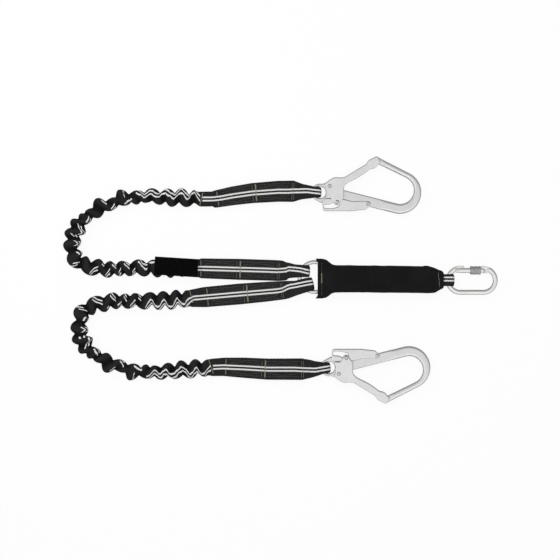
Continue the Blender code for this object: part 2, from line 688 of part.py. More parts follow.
def smooth_route(points, count):
    """Even points along a Catmull-Rom curve through the route's own points."""
    knots = np.array(points, float) * MM
    knots = np.vstack([2 * knots[0] - knots[1], knots, 2 * knots[-1] - knots[-2]])
    fine = []
    for i in range(1, len(knots) - 2):
        a, b, c, d = knots[i - 1 : i + 3]
        square = 2 * a - 5 * b + 4 * c - d
        cube = 3 * b - a - 3 * c + d
        for t in np.arange(0, 1, 0.05):
            fine.append(0.5 * (2 * b + (c - a) * t + square * t**2 + cube * t**3))
    fine.append(knots[-2])
    fine = np.array(fine)
    along = np.concatenate([[0], np.cumsum(np.linalg.norm(np.diff(fine, axis=0), axis=1))])
    even = np.linspace(0, along[-1], count)
    return np.column_stack([np.interp(even, along, fine[:, i]) for i in range(2)]), even


def lobe_reach(distance, lobes):
    """How far the gathered webbing stands out on one side of its leg, at a distance along it."""
    after = next((i for i, lobe in enumerate(lobes) if lobe[0] * MM > distance), len(lobes))
    before = max(after - 1, 0)
    after = min(after, len(lobes) - 1)
    near, far = lobes[before], lobes[after]
    span = (far[0] - near[0]) * MM if before != after else LOBE_SPAN
    valley = max(VALLEY_REACH, min(near[1], far[1]) * MM - VALLEY_SLOPE * span)
    if abs(far[0] * MM - distance) < abs(near[0] * MM - distance):
        near = far
    share = min(abs(distance - near[0] * MM) / (span / 2), 1.0)
    return valley + (near[1] * MM - valley) * math.cos(share * math.pi / 2) ** 0.8


def lobe_stations(length, sides):
    """Distances along a leg at its ends, at each lobe's tip, and midway between two tips."""
    tips = sorted(place * MM for lobes in sides for place, _ in lobes)
    marks = [0.0, 4 * MM] + tips + [length - 4 * MM, length]
    marks += [(a + b) / 2 for a, b in zip(tips, tips[1:]) if b - a > 7 * MM]
    kept = []
    for mark in sorted(marks):
        if not kept or mark - kept[-1] > 2.5 * MM:
            kept.append(mark)
    kept[-1] = length
    return kept


def gathered_tube(name, route, sides, parent):
    """The webbing tube that the elastic gathers into lobes, cut out for its core.

    sides holds the lobes on the left and on the right of the route.
    """
    centre, along = smooth_route(route, 400)
    length = along[-1]
    ahead = np.gradient(centre, axis=0)
    ahead /= np.linalg.norm(ahead, axis=1)[:, None]
    shape = bmesh.new()
    rings = []
    for place in lobe_stations(length, sides):
        middle = np.array([np.interp(place, along, centre[:, axis]) for axis in range(2)])
        heading = [np.interp(place, along, ahead[:, axis]) for axis in range(2)]
        normal = np.array([-heading[1], heading[0]])
        from_end = min(place, length - place)
        end_ease = min(from_end / TUBE_END_TAPER, 1.0)
        left, right = (
            TUBE_END_WIDTH + end_ease * (lobe_reach(place, lobes) - TUBE_END_WIDTH) for lobes in sides
        )
        ease = min(from_end / TUBE_TAPER, 1.0)
        ease = ease * ease * (3 - 2 * ease)
        fullness = 0.86 + 0.14 * min(1.0, (left + right) / (36 * MM))
        high = (TUBE_END_HIGH + ease * (TUBE_HALF_HIGH - TUBE_END_HIGH)) * fullness
        ring = []
        for k in range(TUBE_SIDES):
            turn = 2 * math.pi * k / TUBE_SIDES
            across = (left - right) / 2 + (left + right) / 2 * math.cos(turn)
            spot = middle + normal * across
            ring.append(shape.verts.new((spot[0], spot[1], MID_Z + high * math.sin(turn))))
        rings.append(ring)
    for near, far in zip(rings, rings[1:]):
        for k in range(TUBE_SIDES):
            shape.faces.new((near[k], near[k - 1], far[k - 1], far[k]))
    shape.faces.new(rings[0])
    shape.faces.new(list(reversed(rings[-1])))
    bmesh.ops.recalc_face_normals(shape, faces=shape.faces)
    mesh = bpy.data.meshes.new(name)
    shape.to_mesh(mesh)
    shape.free()
    tube = new_object(name, mesh, WEBBING)
    path, along = smooth_route(route, round(length / BORE_STEP))
    heading = (path[0] - path[1]) / np.linalg.norm(path[0] - path[1])
    tail = (path[-1] - path[-2]) / np.linalg.norm(path[-1] - path[-2])
    ends = np.vstack([path[0] + heading * 4 * MM, path, path[-1] + tail * 4 * MM])
    cut(tube, rod(name + "_bore", [(x, y, MID_Z) for x, y in ends], BORE_RADIUS, 1))
    core_name = name.replace("elastic", "elastic_core")
    core = rod(core_name, [(x, y, MID_Z) for x, y in path], CORE_RADIUS, 1, CORE_RUBBER)
    print(name, "length", round(length, 4), "lobes", [len(lobes) for lobes in sides])
    return rooted(tube, parent), rooted(core, parent)


def folded_label(name, parent):
    """A stiff film folded round the upper leg from one side, its other side left open."""
    high = TUBE_HALF_HIGH + SEAT_GAP + LABEL_WALL / 2
    reach = LABEL_HALF_WIDTH - LABEL_WALL / 2
    corner = 4.0 * MM
    section = [(-reach, high)]
    section += [(y, z) for y, z in arc((reach - corner, high - corner), corner, 90, 0, 3)]
    section += [(y, z) for y, z in arc((reach - corner, corner - high), corner, 0, -90, 3)]
    section += [(-reach, -high)]
    turn = math.radians(LABEL_TURN)
    stations = []
    for across, height in section:
        pair = []
        for end in (-LABEL_LENGTH / 2, LABEL_LENGTH / 2):
            x = LABEL_CENTRE.x + end * math.cos(turn) - across * math.sin(turn)
            y = LABEL_CENTRE.y + end * math.sin(turn) + across * math.cos(turn)
            pair.append((x, y, MID_Z + height))
        stations.append(pair)
    return rooted(strip(name, stations, LABEL_FILM, LABEL_WALL), parent)


# Absorber
def absorber_cover(name):
    """The sewn cover: a sleeve lofted through rounded sections, open at both ends."""
    sections = []
    for x, middle, half, low, high, corner, hollow in COVER_STATIONS:
        ring = []
        for sy, up, start in ((1, 1, 0), (-1, 1, 90), (-1, -1, 180), (1, -1, 270)):
            centre_y = middle + sy * (half - corner)
            centre_z = high - corner if up > 0 else low + corner
            for y, z in arc((centre_y, centre_z), corner, start, start + 90, 3):
                bow = hollow * (1 - ((y - middle) / half) ** 2)
                ring.append(((x + bow) * MM, y * MM, z * MM))
        sections.append(ring)
    count = len(sections[0])
    corners = [corner for ring in sections for corner in ring]
    faces = []
    for i in range(len(sections) - 1):
        for k in range(count):
            near = i * count + k
            beside = i * count + (k + 1) % count
            faces.append((near, beside, beside + count, near + count))
    mesh = bpy.data.meshes.new(name)
    mesh.from_pydata(corners, [], faces)
    piece = new_object(name, mesh, COVER_CLOTH)
    wall = piece.modifiers.new("wall", "SOLIDIFY")
    wall.thickness = COVER_WALL
    wall.offset = -1.0
    return smooth(as_mesh(piece, COVER_CLOTH))


def tear_pack(name):
    """The tear webbing, folded back and forth inside the cover."""
    pitch = WEB_THICK + 0.5 * MM
    low = COVER_WALL + SEAT_GAP + WEB_THICK / 2
    stations = []
    for layer in range(PACK_LAYERS):
        height = low + layer * pitch
        start, end = (PACK_LEFT, PACK_RIGHT) if layer % 2 == 0 else (PACK_RIGHT, PACK_LEFT)
        stations += [(start, height), (end, height)]
        if layer == PACK_LAYERS - 1:
            break
        outward = 1 if layer % 2 == 0 else -1
        for angle in (30, 60, 90, 120, 150):
            turn = math.radians(angle)
            lean = end + outward * pitch / 2 * math.sin(turn)
            stations.append((lean, height + pitch / 2 * (1 - math.cos(turn))))
    edges = [((x, PACK_HALF_WIDTH, z), (x, -PACK_HALF_WIDTH, z)) for x, z in stations]
    return smooth(strip(name, edges, WEBBING))


def ring(name, parent):
    bpy.ops.mesh.primitive_torus_add(
        major_radius=RING_RADIUS, minor_radius=RING_BAR, major_segments=34, minor_segments=10
    )
    made = bpy.context.object
    mesh = made.data
    bpy.data.objects.remove(made)
    piece = new_object(name, mesh, STEEL)
    piece.parent = parent
    return smooth(piece)


# Carabiner
def along_x(piece, x, y):
    """Lays a shape turned about Z along +X, from a point."""
    lay = Matrix.Translation((x, y, 0.0)) @ Matrix.Rotation(math.pi / 2, 4, "Y")
    piece.data.transform(lay)
    return piece


def carabiner(parent):
    """The oval body, its gate and pins, and the screw sleeve on the gate."""
    holder = empty("carabiner_swing", (*CARABINER_CENTRE, MID_Z), parent)
    left = arc((0, 0), OVAL_RADIUS, 104, 270, 18)
    right = arc((OVAL_LENGTH, 0), OVAL_RADIUS, 270, 424, 16)
    path = [(x, y, 0.0) for x, y in left + right]
    body = rod("carabiner_body", path, OVAL_BAR, 2, STEEL)
    corridor = ((NOSE_END, GATE_AXIS - GATE_ROD - 1.2 * MM), (OVAL_LENGTH - 6 * MM, TONGUE_TOP + 5 * MM))
    opening = box("gate_corridor", (*corridor[0], -CUT_DEEP), (*corridor[1], CUT_DEEP))
    cut(body, opening)
    swing = slab("hinge_clearance", [arc(HINGE, HINGE_SWING, 0, 342, 19)], CUT_DEEP)
    cut(body, swing)
    floor = GATE_AXIS + GATE_ROD + SEAT_GAP
    outer = [(-19 * MM, 23.0 * MM), (-14 * MM, 27.0 * MM), (-8 * MM, 29.4 * MM), (-3 * MM, TONGUE_TOP)]
    tongue = outer + [(TONGUE_END, TONGUE_TOP), (TONGUE_END, floor), (NOSE_END - 2 * MM, floor)]
    tongue += [(NOSE_END - 4 * MM, 21.0 * MM)]
    join(body, slab("nose_tongue", [tongue], TONGUE_HALF))
    slot = KEY_PIN_RADIUS + 0.4 * MM
    over = arc(KEY_PIN, slot, 0, 180, 6)
    foot = GATE_AXIS - 3.3 * MM
    key = [(KEY_END, GATE_AXIS + 3.5 * MM), (KEY_END, foot), (KEY_PIN.x + slot, foot)] + over
    key += [(KEY_PIN.x - slot, foot), (NOSE_END - 3 * MM, foot), (NOSE_END - 3 * MM, GATE_AXIS + 3.5 * MM)]
    join(body, slab("nose_key", [key], KEY_HALF))
    knuckle = arc(HINGE, HINGE_TAB, 100, 260, 10)
    root = [(60.5 * MM, 14.6 * MM), (65.5 * MM, 17.5 * MM), (60.0 * MM, 25.0 * MM)]
    join(body, slab("hinge_tab", [knuckle + root], HINGE_TAB_HALF))
    drill = slab("hinge_hole", [arc(HINGE, HINGE_SHANK + SEAT_GAP, 0, 330, 11)], CUT_DEEP)
    cut(body, drill)
    seat(body, holder, (0, 0))

    swing_axis = empty("carabiner_gate_axis", (*HINGE, 0), holder)
    top = GATE_DOME
    length = top - GATE_START
    dome = arc((0, 0), GATE_ROD, 90, 0, 5)
    profile = [(x, length + y) for x, y in dome] + [(GATE_ROD, 0.8 * MM), (GATE_ROD - 0.8 * MM, 0), (0, 0)]
    profile[0] = (0.0, profile[0][1])
    gate = turned("carabiner_gate", profile, 20, STEEL)
    along_x(gate, GATE_START, GATE_AXIS)
    fork = box(
        "hinge_fork",
        (HINGE.x - HINGE_TAB - 1.2 * MM, GATE_AXIS - 10 * MM, -HINGE_TAB_HALF - SEAT_GAP),
        (HINGE.x + 20 * MM, GATE_AXIS + 10 * MM, HINGE_TAB_HALF + SEAT_GAP),
    )
    cut(gate, fork)
    latch_fork = box(
        "latch_fork",
        (GATE_START - 5 * MM, GATE_AXIS - 10 * MM, -KEY_HALF - SEAT_GAP),
        (KEY_END + 1.4 * MM, GATE_AXIS + 10 * MM, KEY_HALF + SEAT_GAP),
    )
    cut(gate, latch_fork)
    cut(gate, slab("gate_hinge_hole", [arc(HINGE, HINGE_SHANK + SEAT_GAP, 0, 330, 11)], CUT_DEEP))
    cut(gate, slab("latch_hole", [arc(KEY_PIN, KEY_PIN_RADIUS + SEAT_GAP, 0, 330, 11)], CUT_DEEP))
    plunger_end = HINGE.x - HINGE_TAB - SEAT_GAP
    bore_depth = PLUNGER_LENGTH + PLUNGER_SPRING
    bore_radius = PLUNGER_RADIUS + SEAT_GAP
    bore_profile = [(0, bore_depth + 2 * MM), (bore_radius, bore_depth + 2 * MM), (bore_radius, 0), (0, 0)]
    bore = along_x(turned("plunger_bore", bore_profile, 12), plunger_end - bore_depth, GATE_AXIS)
    cut(gate, bore)
    seat(gate, swing_axis, HINGE)
    gate.location = (0, 0, 0)

    under_head = GATE_ROD + SEAT_GAP
    half = under_head + 0.9 * MM
    hinge_rivet = pin("carabiner_hinge_rivet", HINGE, HINGE_SHANK, HINGE_HEAD, half, 0.9 * MM, STEEL)
    seat(hinge_rivet, holder, HINGE)
    key_half = GATE_ROD - 0.5 * MM
    key_profile = [(0, key_half), (KEY_PIN_RADIUS, key_half), (KEY_PIN_RADIUS, -key_half), (0, -key_half)]
    key_pin = turned("carabiner_latch_pin", key_profile, 12, STEEL)
    key_pin.data.transform(Matrix.Translation((*KEY_PIN, 0)))
    seat(key_pin, swing_axis, HINGE)
    key_pin.location = (0, 0, 0)

    tip = 0.6 * MM
    plunger_profile = [(0, PLUNGER_LENGTH), (PLUNGER_RADIUS - tip, PLUNGER_LENGTH)]
    plunger_profile += [(PLUNGER_RADIUS, PLUNGER_LENGTH - tip), (PLUNGER_RADIUS, 0), (0, 0)]
    plunger = turned("carabiner_spring_plunger", plunger_profile, 12, STEEL)
    along_x(plunger, plunger_end - PLUNGER_LENGTH, GATE_AXIS)
    seat(plunger, swing_axis, HINGE)
    plunger.location = (0, 0, 0)

    wire = 0.35 * MM
    coil = PLUNGER_RADIUS - wire
    start = plunger_end - bore_depth + SEAT_GAP + wire
    reach = PLUNGER_SPRING - 2 * SEAT_GAP - 2 * wire
    turns = 5
    helix = []
    for step in range(turns * 8 + 1):
        turn = 2 * math.pi * step / 8
        x = start + reach * step / (turns * 8)
        helix.append((x, GATE_AXIS + coil * math.cos(turn), coil * math.sin(turn)))
    print("carabiner_gate_spring least gap", round(least_gap(helix, wire) / MM, 2), "mm")
    gate_spring = rod("carabiner_gate_spring", helix, wire, 1, SPRING_STEEL)
    seat(gate_spring, swing_axis, HINGE)
    gate_spring.location = (0, 0, 0)

    bore_wall = GATE_ROD + SEAT_GAP
    waist = SLEEVE_RADIUS - SLEEVE_GROOVE
    edge = 0.9 * MM
    outline = [(bore_wall, SLEEVE_LENGTH), (SLEEVE_RADIUS - edge, SLEEVE_LENGTH)]
    outline += [(SLEEVE_RADIUS, SLEEVE_LENGTH - edge)]
    for share in (2, 1):
        middle = SLEEVE_LENGTH * share / 3
        outline += [(SLEEVE_RADIUS, middle + 1.2 * MM), (waist, middle + 0.5 * MM)]
        outline += [(waist, middle - 0.5 * MM), (SLEEVE_RADIUS, middle - 1.2 * MM)]
    outline += [(SLEEVE_RADIUS, edge), (SLEEVE_RADIUS - edge, 0), (bore_wall, 0)]
    outline += [(bore_wall, SLEEVE_LENGTH)]
    sleeve = turned("carabiner_screw_sleeve", outline, 20, SLEEVE_STEEL)
    along_x(sleeve, SLEEVE_START, GATE_AXIS)
    seat(sleeve, swing_axis, HINGE)
    sleeve.location = (0, 0, 0)
    return holder


def build():
    """Everything, body by body: absorber, ring, both legs with their hooks, carabiner."""
    root = empty("absorber_root", (0, 0, 0))
    cover = absorber_cover("absorber_cover")
    pack = tear_pack("absorber_tear_pack")
    bar_face = (RING_CENTRE.x + RING_RADIUS + RING_BAR) / MM
    ring_part = (RING_STRAP_PLAN[0][0] - bar_face) * MM - RING_STRAP_OPEN
    ring_strap = loop_strap(
        "absorber_ring_strap",
        fold_past(RING_STRAP_PLAN, RING_CENTRE, RING_RADIUS, ABSORBER_RING_FOLD, 1),
        RING_BAR,
        RING_STRAP_REACH,
        ring_part,
        HIDDEN_RETURN,
        None,
    )
    carabiner_strap = loop_strap(
        "absorber_carabiner_strap",
        fold_past(OVAL_STRAP_PLAN, CARABINER_CENTRE, OVAL_RADIUS, OVAL_FOLD),
        OVAL_BAR,
        OVAL_STRAP_REACH,
        OVAL_STRAP_PART,
        HIDDEN_RETURN,
        None,
    )
    for piece in (cover, pack, ring_strap, carabiner_strap):
        piece.parent = root

    hub = empty("ring_hub", (*RING_CENTRE, MID_Z), root)
    ring("ring", hub)

    upper = empty("leg_upper_swing", (*RING_CENTRE, MID_Z), root)
    upper_sides = (UPPER_INNER_LOBES, UPPER_OUTER_LOBES)
    gathered_tube("leg_upper_elastic", LEG_UPPER_ROUTE, upper_sides, upper)
    folded_label("leg_upper_label_sleeve", upper)
    lower = empty("leg_lower_swing", (*RING_CENTRE, MID_Z), root)
    lower_sides = (LOWER_OUTER_LOBES, LOWER_INNER_LOBES)
    gathered_tube("leg_lower_elastic", LEG_LOWER_ROUTE, lower_sides, lower)
    rim = EYE_HOLE + EYE_RIM / 2
    hook_straps = (
        ("leg_upper_hook_strap", UPPER_HOOK_PLAN, HOOK_UPPER_EYE, UPPER_HOOK_PART, upper),
        ("leg_lower_hook_strap", LOWER_HOOK_PLAN, HOOK_LOWER_EYE, LOWER_HOOK_PART, lower),
    )
    for name, plan, eye, part_at, leg in hook_straps:
        plan = fold_past(plan, eye, rim, HOOK_FOLD)
        loop_strap(name, plan, FRAME_HALF, EYE_REACH, part_at, HOOK_RETURN, leg)
    ring_straps = (
        ("leg_upper_ring_strap", UPPER_RING_PLAN, UPPER_RING_FOLD, UPPER_RING_PART, upper),
        ("leg_lower_ring_strap", LOWER_RING_PLAN, LOWER_RING_FOLD, LOWER_RING_PART, lower),
    )
    for name, plan, fold, part_at, leg in ring_straps:
        plan = fold_past(plan, RING_CENTRE, RING_RADIUS, fold)
        loop_strap(name, plan, RING_BAR, RING_REACH, part_at, RING_RETURN, leg)
    hook("hook_upper", HOOK_UPPER_EYE - RING_CENTRE, 1, upper)
    hook("hook_lower", HOOK_LOWER_EYE - RING_CENTRE, -1, lower)

    carabiner(root)


build()
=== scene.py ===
# %% [markdown]
# Twin shock-absorbing lanyard, dressed for a studio picture. The real thing is a harness lanyard:
# two gathered elastic legs end in large hooks, a steel ring joins them to a covered absorber, and
# an oval screw-gate carabiner clips the absorber to the wearer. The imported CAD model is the
# frame here: every visible piece sits on one of its bodies, in metres, so a joint still moves it.

import math

import bmesh
import bpy
import numpy as np
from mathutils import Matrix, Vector, noise
from mathutils.geometry import tessellate_polygon


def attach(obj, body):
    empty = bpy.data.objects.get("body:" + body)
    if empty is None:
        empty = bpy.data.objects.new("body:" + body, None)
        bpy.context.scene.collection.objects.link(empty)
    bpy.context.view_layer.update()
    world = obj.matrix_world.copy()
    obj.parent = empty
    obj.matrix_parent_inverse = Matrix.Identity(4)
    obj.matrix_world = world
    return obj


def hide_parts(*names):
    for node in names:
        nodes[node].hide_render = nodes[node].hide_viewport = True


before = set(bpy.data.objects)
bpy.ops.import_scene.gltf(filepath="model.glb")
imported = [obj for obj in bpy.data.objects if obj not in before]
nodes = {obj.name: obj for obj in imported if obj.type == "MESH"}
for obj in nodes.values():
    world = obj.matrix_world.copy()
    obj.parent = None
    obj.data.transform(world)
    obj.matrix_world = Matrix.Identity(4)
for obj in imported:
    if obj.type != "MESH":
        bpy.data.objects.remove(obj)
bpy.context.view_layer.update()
MM = 0.001

# %% [markdown]
# The picture looks straight down at the lanyard on a white table. A long lens far above keeps
# the outlines as flat as the photograph's, and its width is set from the real width in view.

# %% Camera above the table
VIEW_WIDTH = 1164.8 * MM
VIEW_CENTRE = (-205.9 * MM, -2.2 * MM)
CAMERA_HEIGHT = 3.5
SENSOR_WIDTH = 36.0
WEB_LEVEL = 11.4 * MM  # height of the middle plane of straps, hooks and carabiner
LEVEL = WEB_LEVEL / MM  # the same in mm

lens = bpy.data.cameras.new("table_camera")
lens.sensor_width = SENSOR_WIDTH
lens.lens = lens.sensor_width * CAMERA_HEIGHT / VIEW_WIDTH
camera = bpy.data.objects.new("table_camera", lens)
camera.location = (*VIEW_CENTRE, CAMERA_HEIGHT + WEB_LEVEL)
bpy.context.scene.collection.objects.link(camera)
bpy.context.scene.camera = camera
print("lens", round(lens.lens, 1), "mm")

# %% [markdown]
# Room and table are made of shader nodes. Three short helpers keep that readable: one adds
# nodes by their kind, one links pairs of sockets, and one sets the stops of a colour ramp.


# %% Helpers for shader nodes
def add_nodes(tree, *kinds):
    """One new node of each kind."""
    return [tree.nodes.new("ShaderNode" + kind) for kind in kinds]


def wire(tree, *pairs):
    """Links each source socket to its target."""
    for source, target in pairs:
        tree.links.new(source, target)


def set_stops(ramp, stops):
    """The stops of a ramp, each a place and a colour."""
    for number, (at, colour) in enumerate(stops):
        stop = ramp.elements[number] if number < 2 else ramp.elements.new(at)
        stop.position = at
        stop.color = (*colour, 1)


print("node helpers ready")

# %% [markdown]
# A packshot like this is lit by a big soft box overhead and by a white room. The world gives the
# room: it is white to the camera, and cloth is lit by a white ceiling that fades to grey walls.
# Metal mirrors a bright window wall towards -Y and a dark one towards +Y, so that a polished
# edge is light or dark by the way that it faces, as it is in the photograph.

# %% White room
WALL_AXIS = (0.36, 0.93, 0.0)  # points at the dark wall
WALL_GREYS = (
    (0.0, 0.6), (0.14, 0.92), (0.34, 0.86), (0.46, 0.69),
    (0.54, 0.66), (0.68, 0.52), (0.82, 0.36), (0.94, 0.26),
)  # fmt: skip
CEILING_STOPS = ((0.05, (0.22, 0.22, 0.23)), (0.92, (1, 1, 1)))
ROOM_LIGHT = 0.75
MIRRORED = 1.5  # strength of what metal mirrors, well above the table
LOW_BAND = (-0.1, 0.42)  # heights between which the mirrored room grows to full strength
LOW_SHARE = 0.5  # its share of the strength below that

bpy.context.scene.view_settings.view_transform = "Standard"
white_room = bpy.data.worlds.new("white_room")
bpy.context.scene.world = white_room
white_room.use_nodes = True
tree = white_room.node_tree
tree.nodes.clear()
out, seen, lit, shine = add_nodes(tree, "OutputWorld", "Background", "Background", "Background")
by_surface, by_camera, ray = add_nodes(tree, "MixShader", "MixShader", "LightPath")
clear, direction, split = add_nodes(tree, "Math", "TexCoord", "SeparateXYZ")
ceiling, aside, spread, walls = add_nodes(tree, "ValToRGB", "VectorMath", "MapRange", "ValToRGB")
low_wall, dim = add_nodes(tree, "MapRange", "Math")
clear.operation = "MAXIMUM"
aside.operation = "DOT_PRODUCT"
aside.inputs[1].default_value = WALL_AXIS
spread.inputs["From Min"].default_value = -1.0
low_wall.inputs["From Min"].default_value = LOW_BAND[0]
low_wall.inputs["From Max"].default_value = LOW_BAND[1]
low_wall.inputs["To Min"].default_value = LOW_SHARE
dim.operation = "MULTIPLY"
dim.inputs[1].default_value = MIRRORED
set_stops(walls.color_ramp, [(at, (grey,) * 3) for at, grey in WALL_GREYS])
set_stops(ceiling.color_ramp, CEILING_STOPS)
seen.inputs["Color"].default_value = (1, 1, 1, 1)
lit.inputs["Strength"].default_value = ROOM_LIGHT
wire(
    tree,
    (direction.outputs["Generated"], split.inputs[0]),
    (split.outputs["Z"], ceiling.inputs["Fac"]),
    (ceiling.outputs["Color"], lit.inputs["Color"]),
    (direction.outputs["Generated"], aside.inputs[0]),
    (aside.outputs["Value"], spread.inputs["Value"]),
    (spread.outputs["Result"], walls.inputs["Fac"]),
    (walls.outputs["Color"], shine.inputs["Color"]),
    (split.outputs["Z"], low_wall.inputs["Value"]),
    (low_wall.outputs["Result"], dim.inputs[0]),
    (dim.outputs[0], shine.inputs["Strength"]),
    (ray.outputs["Is Glossy Ray"], by_surface.inputs["Fac"]),
    (lit.outputs[0], by_surface.inputs[1]),
    (shine.outputs[0], by_surface.inputs[2]),
    (ray.outputs["Is Camera Ray"], clear.inputs[0]),
    (ray.outputs["Is Transmission Ray"], clear.inputs[1]),
    (clear.outputs[0], by_camera.inputs["Fac"]),
    (by_surface.outputs[0], by_camera.inputs[1]),
    (seen.outputs[0], by_camera.inputs[2]),
    (by_camera.outputs[0], out.inputs["Surface"]),
)
print("room nodes", len(tree.nodes))

# %% [markdown]
# Two square lamps give the soft shadows: a large one overhead and a smaller one from the left.
# Neither is mirrored, because the room alone decides what the metal shows.


# %% Soft boxes
def soft_box(name, place, aim, size, power):
    """A large square lamp that looks at a point."""
    lamp = bpy.data.lights.new(name, "AREA")
    lamp.shape = "SQUARE"
    lamp.size = size
    lamp.energy = power
    holder = bpy.data.objects.new(name, lamp)
    holder.location = place
    holder.rotation_euler = (Vector(aim) - Vector(place)).to_track_quat("-Z", "Y").to_euler()
    holder.visible_glossy = False
    bpy.context.scene.collection.objects.link(holder)


LAMP_AIM = (-0.2, 0, 0)
soft_box("overhead_box", (-0.2, 0.35, 2.0), LAMP_AIM, 1.6, 16)
soft_box("side_box", (-1.7, 0.9, 1.2), LAMP_AIM, 0.9, 9)
print("soft boxes", len(bpy.data.lights))

# %% [markdown]
# The table is white paper. A real white table would come out grey where the lamps are weak, so
# the camera sees it mostly as an even glow with only a faint shadow. Metal mirrors it darker.

# %% White table
TABLE_SIZE = 6.0
TABLE_DROP = 0.2 * MM  # below the lowest piece
GLOW_SHARE = 0.91
PAPER = (0.92, 0.92, 0.92, 1)
PAPER_MIRRORED = (0.34, 0.34, 0.34, 1)

sheet = bmesh.new()
bmesh.ops.create_grid(sheet, x_segments=1, y_segments=1, size=TABLE_SIZE)
table_mesh = bpy.data.meshes.new("table_top")
sheet.to_mesh(table_mesh)
sheet.free()
table_top = bpy.data.objects.new("table_top", table_mesh)
table_top.location.z = -TABLE_DROP
bpy.context.scene.collection.objects.link(table_top)
paper = bpy.data.materials.new("white_table")
paper.use_nodes = True
paper_tree = paper.node_tree
matt = paper_tree.nodes["Principled BSDF"]
matt.inputs["Roughness"].default_value = 0.9
glow, shade, blend = add_nodes(paper_tree, "Emission", "Mix", "MixShader")
view_ray, share = add_nodes(paper_tree, "LightPath", "Math")
glow.inputs["Strength"].default_value = 1.0
shade.data_type = "RGBA"
shade.inputs["A"].default_value = PAPER
shade.inputs["B"].default_value = PAPER_MIRRORED
share.operation = "MULTIPLY"
share.inputs[1].default_value = GLOW_SHARE
wire(
    paper_tree,
    (view_ray.outputs["Is Glossy Ray"], shade.inputs["Factor"]),
    (shade.outputs["Result"], matt.inputs["Base Color"]),
    (view_ray.outputs["Is Camera Ray"], share.inputs[0]),
    (share.outputs[0], blend.inputs["Fac"]),
    (matt.outputs[0], blend.inputs[1]),
    (glow.outputs[0], blend.inputs[2]),
    (blend.outputs[0], paper_tree.nodes["Material Output"].inputs["Surface"]),
)
table_mesh.materials.append(paper)
print("table ready")

# %% [markdown]
# Cloth, film and metal all need small-scale detail that follows the piece. Webbing is woven
# along its own length, so its finish reads a UV map written in millimetres: U runs along the
# webbing and V across it. The two white lines are simply warp threads of another colour, at
# fixed places in V, which is how they stay on the cloth wherever it bends.


# %% Helpers that wire a finish together
class Wiring:
    """A material and short calls for its nodes."""

    def __init__(self, name, roughness=0.5, metallic=0.0):
        self.material = bpy.data.materials.new(name)
        self.material.use_nodes = True
        self.tree = self.material.node_tree
        self.shader = self.tree.nodes["Principled BSDF"]
        self.shader.inputs["Roughness"].default_value = roughness
        self.shader.inputs["Metallic"].default_value = metallic

    def add(self, kind, **settings):
        node = self.tree.nodes.new("ShaderNode" + kind)
        for name, value in settings.items():
            setattr(node, name, value)
        return node

    def plug(self, source, target):
        self.tree.links.new(source, target)

    def math(self, operation, first, second=0.0):
        """One sum on sockets or numbers."""
        node = self.add("Math", operation=operation)
        for socket, value in zip(node.inputs, (first, second)):
            if isinstance(value, (int, float)):
                socket.default_value = value
            else:
                self.plug(value, socket)
        return node.outputs[0]

    def noise(self, scale, detail=2.0, vector=None):
        node = self.add("TexNoise")
        node.inputs["Scale"].default_value = scale
        node.inputs["Detail"].default_value = detail
        self.plug(vector or self.place(), node.inputs["Vector"])
        return node.outputs[0]

    def place(self):
        return self.add("TexCoord").outputs["Object"]

    def weave_map(self):
        """U and V of the webbing, in millimetres."""
        split = self.add("SeparateXYZ")
        self.plug(self.add("UVMap", uv_map="weave").outputs[0], split.inputs[0])
        return split.outputs[0], split.outputs[1]

    def mixed(self, share, low, high):
        """A colour between two, each a colour or a socket."""
        node = self.add("Mix", data_type="RGBA")
        self.plug(share, node.inputs["Factor"])
        for socket, value in ((node.inputs["A"], low), (node.inputs["B"], high)):
            if isinstance(value, tuple):
                socket.default_value = (*value, 1.0)
            else:
                self.plug(value, socket)
        return node.outputs["Result"]

    def ramp(self, value, low, high):
        """The value moved to 0 at low and 1 at high."""
        node = self.add("MapRange")
        self.plug(value, node.inputs["Value"])
        node.inputs["From Min"].default_value = low
        node.inputs["From Max"].default_value = high
        return node.outputs["Result"]

    def colour(self, socket):
        self.plug(socket, self.shader.inputs["Base Color"])

    def rough(self, socket):
        self.plug(socket, self.shader.inputs["Roughness"])

    def bump(self, height, distance, strength=1.0):
        node = self.add("Bump")
        node.inputs["Distance"].default_value = distance
        node.inputs["Strength"].default_value = strength
        self.plug(height, node.inputs["Height"])
        self.plug(node.outputs[0], self.shader.inputs["Normal"])

    def threads(self, distance, pitch):
        """A wave of one period for each thread, for a distance in mm."""
        return self.math("SINE", self.math("MULTIPLY", distance, 2 * math.pi / pitch))

    def gleam(self, sheen, specular=None, sheen_roughness=None):
        """How much the cloth's fibres and its surface shine."""
        self.shader.inputs["Sheen Weight"].default_value = sheen
        if sheen_roughness is not None:
            self.shader.inputs["Sheen Roughness"].default_value = sheen_roughness
        if specular is not None:
            self.shader.inputs["Specular IOR Level"].default_value = specular


print("wiring helper ready")

# %% [markdown]
# Polyester webbing is a close plain weave: fine ribs across, split into warp threads along.
# Two sine waves multiplied give the over-and-under of the threads, which lifts the bump and
# darkens the gaps. Black dye is never one flat black, so a slow noise moves it a little.

# %% Webbing with its two white lines
WARP_PITCH = 1.1  # in mm
WEFT_PITCH = 1.5
LINE_WHITE = 0.86
LINE_EDGE = 0.12  # half the soft edge of a white line, in mm


